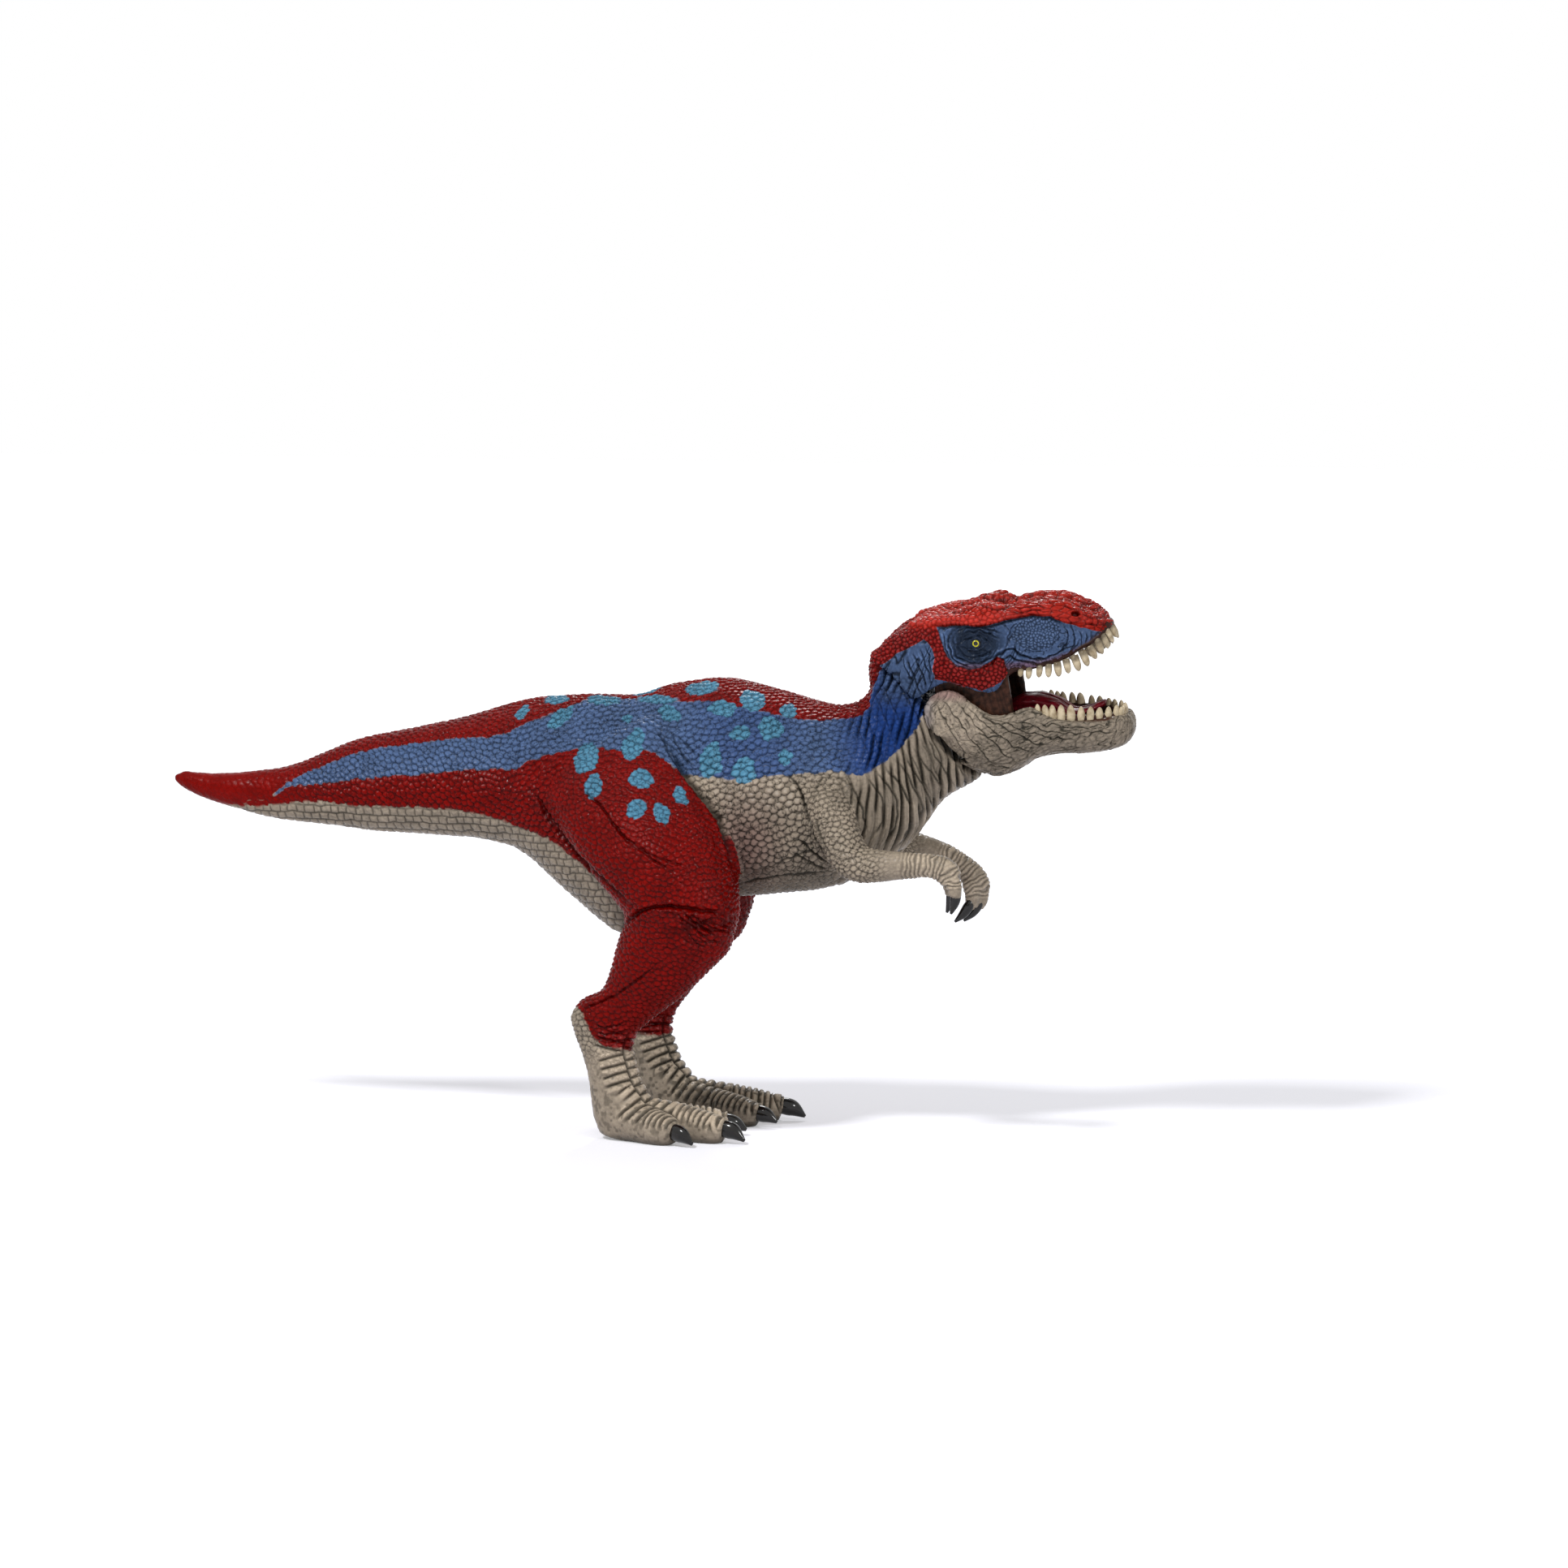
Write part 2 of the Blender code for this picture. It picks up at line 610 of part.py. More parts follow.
def make_leg(name, side, step):
    leg = loft(name, leg_rings(side, step))
    for shares in (OUTER_TOE_SHARES, MIDDLE_TOE_SHARES, INNER_TOE_SHARES):
        unite(leg, make_toe(shares, side, step))
    cut(leg, ground_block())
    cut(leg, trunk_space())
    return unite(leg, hip_peg("hip_peg", side, HIP_PEG_RADIUS, 0.0))


def limb_rows(shares, start, side):
    rows = []
    for forward, outward, rise, radius in shares:
        place = start + np.array((forward, side * outward, rise)) * ARM_REACH
        rows.append((*place, radius * ARM_REACH))
    return rows


def make_arm(name, side, arm_shares, finger_shares):
    rows = limb_rows(arm_shares, shoulder_place(side), side)
    arm = tube(name, smooth_rows(rows, BODY_STEPS))
    hand = np.array(rows[-1][:3])
    forward, outward, rise = SECOND_FINGER_SHARES
    second = hand + np.array((forward, side * outward, rise)) * ARM_REACH
    for start in (hand, second):
        unite(arm, tube("finger", smooth_rows(limb_rows(finger_shares, start, side), BODY_STEPS)))
    cut(arm, trunk_space())
    return unite(arm, shoulder_peg("shoulder_peg", side, SHOULDER_PEG_RADIUS, 0.0))


def skull_rows():
    rows = smooth_rows(SKULL_SHARES, BODY_STEPS)
    return rows * np.array((SNOUT_REACH, CROWN_RISE, CROWN_RISE, HEAD_WIDTH / 2))


def palate_rows(grow):
    """Stations of the palate plate along the lip, or of the recess that takes it where grow widens it."""
    stations = skull_rows()
    rows = []
    for share in np.linspace(*PALATE_SPAN_SHARES, PALATE_STATIONS):
        place = share * SNOUT_REACH
        x, bottom, _, half_width = (np.interp(place, stations[:, 0], column) for column in stations.T)
        rows.append((x, bottom + SEAM_GAP, bottom + GUM_THICKNESS + grow, half_width - LIP_WALL + grow))
    rows[0] = (rows[0][0] - grow, *rows[0][1:])
    rows[-1] = (rows[-1][0] + grow, *rows[-1][1:])
    return rows


def lining_outline(grow):
    """Side outline of the mouth lining, or of its space where grow widens it at the back and the roof."""
    outline = []
    for x, z in LINING_SHARES:
        along = -grow if x < TUNNEL_X_SHARE else grow
        up = grow if z == LINING_ROOF_SHARE else 0.0
        outline.append((x * SNOUT_REACH + along, z * CROWN_RISE + up))
    return outline


def make_head_shell():
    head = in_head(sections("head_shell", skull_rows(), SKULL_SECTION_SHARES))
    x, y, z = EYE_SHARES
    for side in (-1, 1):
        rows = []
        for along in EYE_RING_SHARES:
            place = (x * SNOUT_REACH, side * y * HEAD_WIDTH / 2 + along * EYE_RADIUS, z * CROWN_RISE)
            rows.append((*place, EYE_RADIUS * math.sqrt(1 - along**2)))
        unite(head, in_head(tube("eye", rows)))
    cut(head, seam_block("seam", SEAM_GAP, False))
    space = lining_outline(SEAM_GAP)
    low = -JAW_DEPTH
    space[0] = (space[0][0], low)
    space[1] = (space[1][0], low)
    cut(head, in_head(extruded("lining_space", space, EAR_INNER_WIDTH / 2)))
    recess = [(x, bottom - OVERRUN, top, half) for x, bottom, top, half in palate_rows(SEAM_GAP)]
    cut(head, in_head(sections("palate_recess", recess, BOX_SECTION_SHARES)))
    return unite(head, neck_plug("neck_plug", NECK_PLUG_RADIUS, 0.0))


def tooth(place, length, lean, direction):
    """Blunt peg with its root sunk in the gum; direction is 1 for a tooth that points up."""
    x, y, z = place
    rings = []
    for height, width in TOOTH_PROFILE_SHARES:
        ring = []
        for i in range(TOOTH_SIDES):
            angle = math.tau * (i + 0.5) / TOOTH_SIDES
            forward = TOOTH_RADIUS * width * math.cos(angle) + lean * length * height
            outward = TOOTH_RADIUS * width * math.sin(angle)
            ring.append((x + forward, y + outward, z + length * height * direction))
        rings.append(ring)
    return in_head(loft("tooth", rings))


def round_the_front(line):
    """A tooth line drawn back from the front edge of its gum and led across to the middle of the mouth."""
    x, y, z = line[-1]
    return line[:-1] + [(x - TOOTH_INSET, y, z), (x - TOOTH_INSET, TOOTH_PITCH / 2, z)]


def tooth_row(line, lengths, longest, direction):
    """Teeth at even steps along a line of x, y and z, on both sides of the mouth."""
    line = np.array(line)
    spans = np.linalg.norm(np.diff(line, axis=0), axis=1)
    travel = np.concatenate(([0.0], np.cumsum(spans)))
    count = int(travel[-1] / TOOTH_PITCH) + 1
    made = []
    for i in range(count):
        share = i / (count - 1)
        x, y, z = (np.interp(share * travel[-1], travel, column) for column in line.T)
        length = longest * np.interp(share, np.linspace(0, 1, len(lengths)), lengths)
        lean = np.interp(share, np.linspace(0, 1, len(TOOTH_LEAN_SHARES)), TOOTH_LEAN_SHARES)
        made.append(tooth((x, -y, z), length, lean, direction))
        made.append(tooth((x, y, z), length, lean, direction))
    return made


def make_upper_teeth():
    rows = palate_rows(0.0)
    plate = in_head(sections("upper_teeth_plate", rows, PALATE_SECTION_SHARES))
    line = [(x, half - TOOTH_INSET, bottom) for x, bottom, _, half in rows[1:]]
    for item in tooth_row(round_the_front(line), UPPER_TOOTH_SHARES, UPPER_TOOTH_LENGTH, -1):
        unite(plate, item)
    return plate


def lower_gum_rows(grow=0.0):
    top = LOWER_GUM_TOP_SHARE * JAW_DEPTH
    rows = []
    for x, width in smooth_rows(LOWER_GUM_SHARES, BODY_STEPS):
        rows.append((x * JAW_REACH, top - GUM_THICKNESS - grow, top, width * GUM_WIDTH / 2 + grow))
    return rows


def make_lower_teeth():
    rows = lower_gum_rows()
    plate = in_head(sections("lower_teeth_rail", rows, BOX_SECTION_SHARES))
    line = [(x, half - TOOTH_INSET, top) for x, _, top, half in rows]
    for item in tooth_row(round_the_front(line), LOWER_TOOTH_SHARES, LOWER_TOOTH_LENGTH, 1):
        unite(plate, item)
    return plate


def make_jaw():
    scale = np.array((JAW_REACH, JAW_DEPTH, JAW_DEPTH, JAW_WIDTH / 2))
    jaw = in_head(sections("lower_jaw", smooth_rows(JAW_SHARES, BODY_STEPS) * scale, JAW_SECTION_SHARES))
    half = np.array((0, JAW_WIDTH / 2, 0))
    unite(jaw, in_head(rod("lobes", -half, half, LOBE_RADIUS, LOBE_POINTS)))
    scale = np.array((JAW_REACH, JAW_DEPTH, EAR_INNER_WIDTH / 2))
    floors = smooth_rows(TROUGH_SHARES, BODY_STEPS) * scale
    trough = [(x, floor, OVERRUN, width) for x, floor, width in floors]
    cut(jaw, in_head(sections("trough", trough, BOX_SECTION_SHARES)))
    seat = [(x, bottom, OVERRUN, width) for x, bottom, _, width in lower_gum_rows(SEAM_GAP)]
    seat[0] = (seat[0][0] - SEAM_GAP, *seat[0][1:])
    seat[-1] = (seat[-1][0] + SEAM_GAP, *seat[-1][1:])
    cut(jaw, in_head(sections("gum_seat", seat, BOX_SECTION_SHARES)))
    cut(jaw, seam_block("seam", SEAM_GAP, False))
    bore = np.array((0, EAR_INNER_WIDTH / 2 + PIN_BITE + SEAM_GAP, 0))
    return cut(jaw, in_head(rod("pin_bores", -bore, bore, PIN_RADIUS + PIN_CLEARANCE)))


def make_lining():
    lining = in_head(extruded("mouth_lining", lining_outline(0.0), LINING_WIDTH / 2))
    roof = LINING_SHARES[-1][1] * CROWN_RISE
    tunnel = (
        (TUNNEL_X_SHARE * SNOUT_REACH, -OVERRUN),
        (TUNNEL_X_SHARE * SNOUT_REACH + OVERRUN, -OVERRUN),
        (TUNNEL_X_SHARE * SNOUT_REACH + OVERRUN, roof - THROAT_WALL),
        (TUNNEL_X_SHARE * SNOUT_REACH, roof - THROAT_WALL),
    )
    cut(lining, in_head(extruded("tunnel", tunnel, LINING_WIDTH / 2 - THROAT_WALL)))
    half = np.array((0, JAW_WIDTH / 2, 0))
    return cut(lining, in_head(rod("pin_hole", -half, half, PIN_RADIUS + PIN_CLEARANCE)))


def make_pin():
    half = np.array((0, EAR_INNER_WIDTH / 2 + PIN_BITE, 0))
    return in_head(rod("jaw_pin", -half, half, PIN_RADIUS))


def make_tongue():
    base = LOWER_GUM_TOP_SHARE * JAW_DEPTH + SEAM_GAP
    rows = []
    for x, bottom, top, width in smooth_rows(TONGUE_SHARES, BODY_STEPS):
        rows.append((x * JAW_REACH, base + bottom * TONGUE_THICKNESS, base + top * TONGUE_THICKNESS,
                     width * TONGUE_WIDTH / 2))
    angles = [math.pi * i / TONGUE_SIDES for i in range(TONGUE_SIDES)]
    section = [(math.sin(angle), (1 + math.cos(angle)) / 2) for angle in angles] + [(0.0, 0.0)]
    return in_head(sections("tongue", rows, section))


def plain_material(name, colour, roughness):
    material = bpy.data.materials.new(name)
    material.use_nodes = True
    shader = material.node_tree.nodes["Principled BSDF"]
    shader.inputs["Base Color"].default_value = (*colour, 1.0)
    shader.inputs["Roughness"].default_value = roughness
    shader.inputs["Metallic"].default_value = 0.0
    return material


def finish(piece, colour, roughness):
    """One plain material, and smooth shading with the real edges kept sharp."""
    mesh = piece.data
    mesh.name = piece.name
    mesh.materials.clear()
    mesh.materials.append(plain_material(piece.name, colour, roughness))
    mesh.polygons.foreach_set("material_index", [0] * len(mesh.polygons))
    mesh.shade_smooth()
    mesh.set_sharp_from_angle(angle=SHARP_ANGLE)


def main():
    clear_scene()
    finish(make_trunk(), SKIN_BLUE, SATIN)
    finish(make_tail(), SKIN_RED, SATIN)
    finish(make_leg("right_leg", -1, 0.0), SKIN_RED, SATIN)
    finish(make_leg("left_leg", 1, STRIDE), SKIN_RED, SATIN)
    finish(make_arm("right_arm", -1, RIGHT_ARM_SHARES, RIGHT_FINGER_SHARES), SKIN_GREY, SATIN)
    finish(make_arm("left_arm", 1, LEFT_ARM_SHARES, LEFT_FINGER_SHARES), SKIN_GREY, SATIN)
    finish(make_head_shell(), SKIN_RED, SATIN)
    finish(make_upper_teeth(), TOOTH_CREAM, GLOSS)
    finish(make_lining(), MOUTH_BROWN, DULL)
    finish(make_jaw(), SKIN_GREY, SATIN)
    finish(make_lower_teeth(), TOOTH_CREAM, GLOSS)
    finish(make_tongue(), TONGUE_RED, GLOSS)
    finish(make_pin(), MOUTH_BROWN, DULL)


main()
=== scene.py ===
"""Looks of the toy dinosaur figure: hand-painted soft vinyl with moulded scales, folds, claws and teeth.

Skin is worked out in millimetres from the CAD nodes: remeshed, smoothed, then carved with scales and folds.
Folds and paint borders are lines seen from the camera of the photograph, mirrored to the far side.
"""

import math

import bpy
import numpy as np
from mathutils import Matrix, Vector
from mathutils.bvhtree import BVHTree
from mathutils.kdtree import KDTree

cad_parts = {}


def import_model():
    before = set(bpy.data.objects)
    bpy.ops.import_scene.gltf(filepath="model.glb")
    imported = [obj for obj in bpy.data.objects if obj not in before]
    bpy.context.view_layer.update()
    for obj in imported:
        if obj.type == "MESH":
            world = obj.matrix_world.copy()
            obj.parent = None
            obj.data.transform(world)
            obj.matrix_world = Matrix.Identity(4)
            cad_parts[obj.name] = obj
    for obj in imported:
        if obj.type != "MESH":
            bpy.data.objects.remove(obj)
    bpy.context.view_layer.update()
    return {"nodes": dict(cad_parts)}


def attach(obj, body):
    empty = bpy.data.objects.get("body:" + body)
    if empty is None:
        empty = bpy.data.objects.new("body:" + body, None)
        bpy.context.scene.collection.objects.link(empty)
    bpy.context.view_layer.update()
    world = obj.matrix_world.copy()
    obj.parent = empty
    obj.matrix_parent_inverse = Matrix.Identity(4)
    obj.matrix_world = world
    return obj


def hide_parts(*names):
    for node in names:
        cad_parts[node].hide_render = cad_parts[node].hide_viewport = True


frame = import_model()
NODES = frame["nodes"]

MM = 0.001
COARSE = 1.0
# Voxel sizes in mm at which the CAD nodes are made into skins; body and head are made four times finer afterwards
BODY_VOXEL, HEAD_VOXEL, GUM_VOXEL, TONGUE_VOXEL, MEMBRANE_VOXEL = 0.57, 0.46, 0.35, 0.35, 0.50

# Camera of the photograph: metres, degrees, and its focal length in pixels of the 1932-pixel image
AZIMUTH, ELEVATION, DISTANCE = math.radians(14.0), math.radians(5.2), 2.0
TARGET = np.array((0.0404, 0.0, 0.0987))
FOCAL_PX, IMAGE_PX, SENSOR_MM = 8791.0, 1932, 36.0
PX_PER_MM = 4.395
RIGHT = np.array((math.cos(AZIMUTH), math.sin(AZIMUTH), 0.0))
AHEAD = np.array((
    -math.sin(AZIMUTH) * math.cos(ELEVATION), math.cos(AZIMUTH) * math.cos(ELEVATION), -math.sin(ELEVATION),
))
UP = np.cross(RIGHT, AHEAD)
CAMERA = TARGET - AHEAD * DISTANCE

# Jaw hinge in mm, and the turn of the head and jaw about the figure's length
PIVOT = np.array((90.16, 0.0, 122.055))
HEAD_ROLL = math.radians(9.0)


# ---------------------------------------------------------------- numbers
def smooth(x):
    x = np.clip(x, 0.0, 1.0)
    return x * x * (3 - 2 * x)


def ramp(x, start, end):
    """0 before start, 1 after end, eased between."""
    return smooth((x - start) / (end - start))


def bell(x, width):
    return np.exp(-((x / width) ** 2))


def noise(points, size, seed=0):
    """Smooth random values from -1 to 1 that change over about `size` mm."""
    q = np.asarray(points, float) / size + 1000.5 + 17.0 * seed
    cell = np.floor(q).astype(np.int64)
    part = q - cell
    part = part * part * (3 - 2 * part)
    total = np.zeros(len(q))
    for corner in range(2 ** q.shape[1]):
        weight, key = np.ones(len(q)), np.full(len(q), 374761393 * (seed + 1), np.int64)
        for axis in range(q.shape[1]):
            bit = corner >> axis & 1
            weight *= part[:, axis] if bit else 1 - part[:, axis]
            key = (key ^ (cell[:, axis] + bit)) * 668265263 & 0x7FFFFFFF
            key ^= key >> 13
        total += weight * ((key * 1274126177 & 0x7FFFFFFF) / 0x3FFFFFFF - 1)
    return total


def wander(points, size, seeds):
    """A smooth random shift of each point, with one value from -1 to 1 for each seed."""
    return np.stack([noise(points, size, seed) for seed in seeds], axis=1)


def wavy_lines(a, b, size, seed, c=0.0):
    """Distance, without a unit, to wavy lines that run the way in which a, b and c change least."""
    return np.abs(noise(np.stack(np.broadcast_arrays(a, b, c), axis=1), size, seed))


def laid_over(base, wishes):
    """A value for each point: the base, and each wish laid over it by its share."""
    for share, wanted in wishes:
        base = base + share * (wanted - base)
    return base


def along(points, line):
    """Distance of each point to a line of points, in its units, and where it lies on the line from 0 to 1."""
    line = np.asarray(line, float)
    lengths = np.linalg.norm(np.diff(line, axis=0), axis=1)
    best, place, gone = np.full(len(points), 1e9), np.zeros(len(points)), 0.0
    for start, step, length in zip(line, np.diff(line, axis=0), lengths):
        t = np.clip((points - start) @ step / length**2, 0, 1)
        distance = np.linalg.norm(points - start - t[:, None] * step, axis=1)
        nearer = distance < best
        best[nearer] = distance[nearer]
        place[nearer] = (gone + t[nearer] * length) / lengths.sum()
        gone += length
    return best, place


def inside(points, outline):
    """Distance to the edge of an outline, above 0 inside it."""
    outline = np.asarray(outline, float)
    distance, _ = along(points, np.vstack((outline, outline[:1])))
    odd = np.zeros(len(points), bool)
    x, y = points[:, 0], points[:, 1]
    for (ax, ay), (bx, by) in zip(outline, np.roll(outline, -1, axis=0)):
        if ay != by:
            odd ^= ((ay > y) != (by > y)) & (x < (bx - ax) * (y - ay) / (by - ay) + ax)
    return np.where(odd, distance, -distance)


def at(line, x):
    line = np.asarray(line, float)
    return np.interp(x, line[:, 0], line[:, 1])


# ---------------------------------------------------------------- places
def photo(points):
    """Pixels of the photograph at which points, in mm, are seen."""
    rays = np.asarray(points) * MM - CAMERA
    depth = rays @ AHEAD
    half = IMAGE_PX / 2
    return np.stack((half + FOCAL_PX * (rays @ RIGHT) / depth, half - FOCAL_PX * (rays @ UP) / depth), axis=1)


def rolled(points, angle):
    """Points turned about the line through the pivot along the figure."""
    y, z = points[:, 1], points[:, 2] - PIVOT[2]
    c, s = np.cos(angle), np.sin(angle)
    return np.stack((points[:, 0], y * c - z * s, y * s + z * c + PIVOT[2]), axis=1)


def near_side(points):
    """The place on the figure's near side that mirrors each point; the neck is turned more and more to the head."""
    angle = HEAD_ROLL * ramp(points[:, 0], 50.0, 86.0) * ramp(points[:, 2], 85.0, 110.0)
    straight = rolled(points, -angle)
    straight[:, 1] = -abs(straight[:, 1])
    return rolled(straight, angle)


def head_place(points):
    """Points in the head's own frame: forward, to the left and up from the pivot."""
    return rolled(points, -HEAD_ROLL) - PIVOT


# ---------------------------------------------------------------- skins
def node_surface(name):
    """A CAD node's points in mm and its triangles, with equal points made one."""
    mesh = NODES[name].data
    points = np.empty(len(mesh.vertices) * 3)
    mesh.vertices.foreach_get("co", points)
    mesh.calc_loop_triangles()
    corners = np.empty(len(mesh.loop_triangles) * 3, np.int64)
    mesh.loop_triangles.foreach_get("vertices", corners)
    keys, index = np.unique(np.round(points.reshape(-1, 3) / (0.5 * MM * MM)), axis=0, return_inverse=True)
    faces = index.reshape(-1)[corners].reshape(-1, 3)
    whole = (faces[:, 0] != faces[:, 1]) & (faces[:, 1] != faces[:, 2]) & (faces[:, 0] != faces[:, 2])
    return keys * 0.5 * MM, faces[whole]


def point_normals(points, faces):
    if faces.shape[1] == 4:
        face = np.cross(points[faces[:, 2]] - points[faces[:, 0]], points[faces[:, 3]] - points[faces[:, 1]])
    else:
        face = np.cross(points[faces[:, 1]] - points[faces[:, 0]], points[faces[:, 2]] - points[faces[:, 0]])
    total = np.zeros_like(points)
    for axis in range(3):
        for corner in range(faces.shape[1]):
            total[:, axis] += np.bincount(faces[:, corner], face[:, axis], len(points))
    return total / np.maximum(np.linalg.norm(total, axis=1), 1e-12)[:, None]


def edges_of(faces):
    """Each edge once, and for every side of every face the number of its edge."""
    sides = np.stack((faces, np.roll(faces, -1, axis=1)), axis=2).reshape(-1, 2)
    low, high = sides.min(axis=1), sides.max(axis=1)
    keys, index = np.unique(low * 2**32 + high, return_inverse=True)
    return np.stack((keys >> 32, keys & 0xFFFFFFFF), axis=1), index.reshape(-1, faces.shape[1])


class Skin:
    """A closed surface of quads, its points in mm."""

    def __init__(self, points, quads):
        self.points, self.quads = points, quads
        self.edges, self.side_edges = edges_of(quads)
        self.degree = np.bincount(self.edges.ravel(), minlength=len(points))

    def mean(self, values):
        """The mean of each point's neighbours."""
        a, b = self.edges.T
        values = values.reshape(len(values), -1)
        out = np.empty_like(values)
        for k in range(values.shape[1]):
            out[:, k] = np.bincount(a, values[b, k], len(values)) + np.bincount(b, values[a, k], len(values))
        return out / self.degree[:, None]

    def spread(self, values, passes, share=0.5):
        for _ in range(passes):
            values = values + share * (self.mean(values).reshape(values.shape) - values)
        return values

    def relax(self, passes, share):
        """Irons out facets and keeps limbs as thick as they were."""
        share = np.broadcast_to(share, len(self.points))[:, None]
        once = self.spread(self.points, passes, 0.5 * share)
        self.points = once + self.spread(self.points - once, passes, 0.5 * share)

    def normals(self):
        return point_normals(self.points, self.quads)

    def finer(self, *values):
        """Each quad in four, rounded as a subdivision surface, and point values carried over."""
        count = len(self.points)
        rows = np.concatenate([self.points] + [v[:, None] for v in values], axis=1)
        middles = rows[self.quads].mean(axis=1)
        a, b = self.edges.T
        halves = (rows[a] + rows[b]) / 2
        around = np.zeros_like(halves)
        beside = np.zeros_like(rows)
        faces_at_edge = np.bincount(self.side_edges.ravel(), minlength=len(a))[:, None]
        faces_at_point = np.bincount(self.quads.ravel(), minlength=count)[:, None]
        halves_at_point = np.zeros_like(rows)
        for k in range(rows.shape[1]):
            every = np.repeat(middles[:, k], 4)
            around[:, k] = np.bincount(self.side_edges.ravel(), every, len(a))
            beside[:, k] = np.bincount(self.quads.ravel(), every, count)
            halves_at_point[:, k] = np.bincount(a, halves[:, k], count) + np.bincount(b, halves[:, k], count)
        edge_rows = (2 * halves + around) / (2 + faces_at_edge)
        degree = self.degree[:, None]
        point_rows = (beside / faces_at_point + 2 * halves_at_point / degree + (degree - 3) * rows) / degree
        table = np.concatenate((point_rows, edge_rows, middles))
        sides, centres = self.side_edges + count, np.arange(len(self.quads)) + count + len(a)
        quads = np.stack([
            np.stack((self.quads[:, k], sides[:, k], centres, sides[:, k - 1]), axis=1) for k in range(4)
        ], axis=1).reshape(-1, 4)
        return (Skin(table[:, :3], quads), *table[:, 3:].T)


def remeshed(surfaces, voxel):
    """One outer skin of quads round all the surfaces."""
    points, faces, count = [], [], 0
    for surface_points, surface_faces in surfaces:
        points.append(surface_points)
        faces.append(surface_faces + count)
        count += len(surface_points)
    mesh = bpy.data.meshes.new("rough")
    mesh.from_pydata((np.concatenate(points) * MM).tolist(), [], np.concatenate(faces).tolist())
    rough = bpy.data.objects.new("rough", mesh)
    bpy.context.scene.collection.objects.link(rough)
    voxels = rough.modifiers.new("voxels", "REMESH")
    voxels.mode, voxels.voxel_size = "VOXEL", voxel * MM
    made = bpy.data.meshes.new_from_object(rough.evaluated_get(bpy.context.evaluated_depsgraph_get()))
    points = np.empty(len(made.vertices) * 3)
    made.vertices.foreach_get("co", points)
    corners = np.empty(len(made.loops), np.int64)
    made.loops.foreach_get("vertex_index", corners)
    bpy.data.objects.remove(rough)
    bpy.data.meshes.remove(mesh)
    bpy.data.meshes.remove(made)
    quads, points = corners.reshape(-1, 4), points.reshape(-1, 3) / MM
    label = np.arange(len(points))
    edges, _ = edges_of(quads)
    while True:
        low = np.minimum(label[edges[:, 0]], label[edges[:, 1]])
        new = label.copy()
        np.minimum.at(new, label[edges[:, 0]], low)
        np.minimum.at(new, label[edges[:, 1]], low)
        new = new[new]
        if (new == label).all():
            break
        label = new
    shell = label == np.bincount(label).argmax()
    number = np.cumsum(shell) - 1
    return Skin(points[shell], number[quads[shell[quads[:, 0]]]])


def grown(name, by):
    points, faces = node_surface(name)
    return points + point_normals(points, faces) * by, faces


def tree_of(points):
    tree = KDTree(len(points))
    for i, point in enumerate(points):
        tree.insert(point, i)
    tree.balance()
    return tree


def cells(points, size, seed, rounds=3):
    """The middles of scales about `size` mm apart, spread evenly over points."""
    size = np.broadcast_to(size, len(points))
    draw = np.random.default_rng(seed)
    order = draw.permutation(len(points))
    kind = np.round(np.log(size) / 0.12)
    cube = 0.45 * np.exp(kind * 0.12)
    spots = np.floor(points / cube[:, None]).astype(np.int64) + 4096
    key = ((spots[:, 0] * 8192 + spots[:, 1]) * 8192 + spots[:, 2]) * 256 + (kind.astype(np.int64) + 64)
    _, first = np.unique(key[order], return_index=True)
    chosen = draw.permutation(order[first])
    tree = tree_of(points[chosen])
    free, kept = np.ones(len(chosen), bool), []
    for i, spot in enumerate(chosen):
        if free[i]:
            kept.append(spot)
            for _, other, _ in tree.find_range(points[spot], 0.84 * size[spot]):
                free[other] = False
    middles = points[kept]
    sample = points[order[:: max(1, len(points) // (12 * len(middles)) or 1)]]
    for _ in range(rounds):
        tree = tree_of(middles)
        owner = np.fromiter((tree.find(p)[1] for p in sample), np.int64, len(sample))
        count = np.bincount(owner, minlength=len(middles))
        moved = np.stack([np.bincount(owner, sample[:, k], len(middles)) for k in range(3)], axis=1)
        moved /= np.maximum(count, 1)[:, None]
        middles = np.where((count > 2)[:, None], moved, middles)
    return middles


def pebbles(points, size, seed):
    """Scales that lie side by side: distance to the edge, and to the own middle."""
    middles = cells(points, size, seed)
    tree = tree_of(middles)
    pairs = np.empty((len(points), 4))
    for i, p in enumerate(points):
        (_, one, near), (_, two, far) = tree.find_n(p, 2)
        pairs[i] = one, two, near, far
    one, two = pairs[:, 0].astype(np.int64), pairs[:, 1].astype(np.int64)
    gap = np.linalg.norm(middles[one] - middles[two], axis=1)
    return (pairs[:, 3] ** 2 - pairs[:, 2] ** 2) / (2 * np.maximum(gap, 1e-6)), pairs[:, 2]


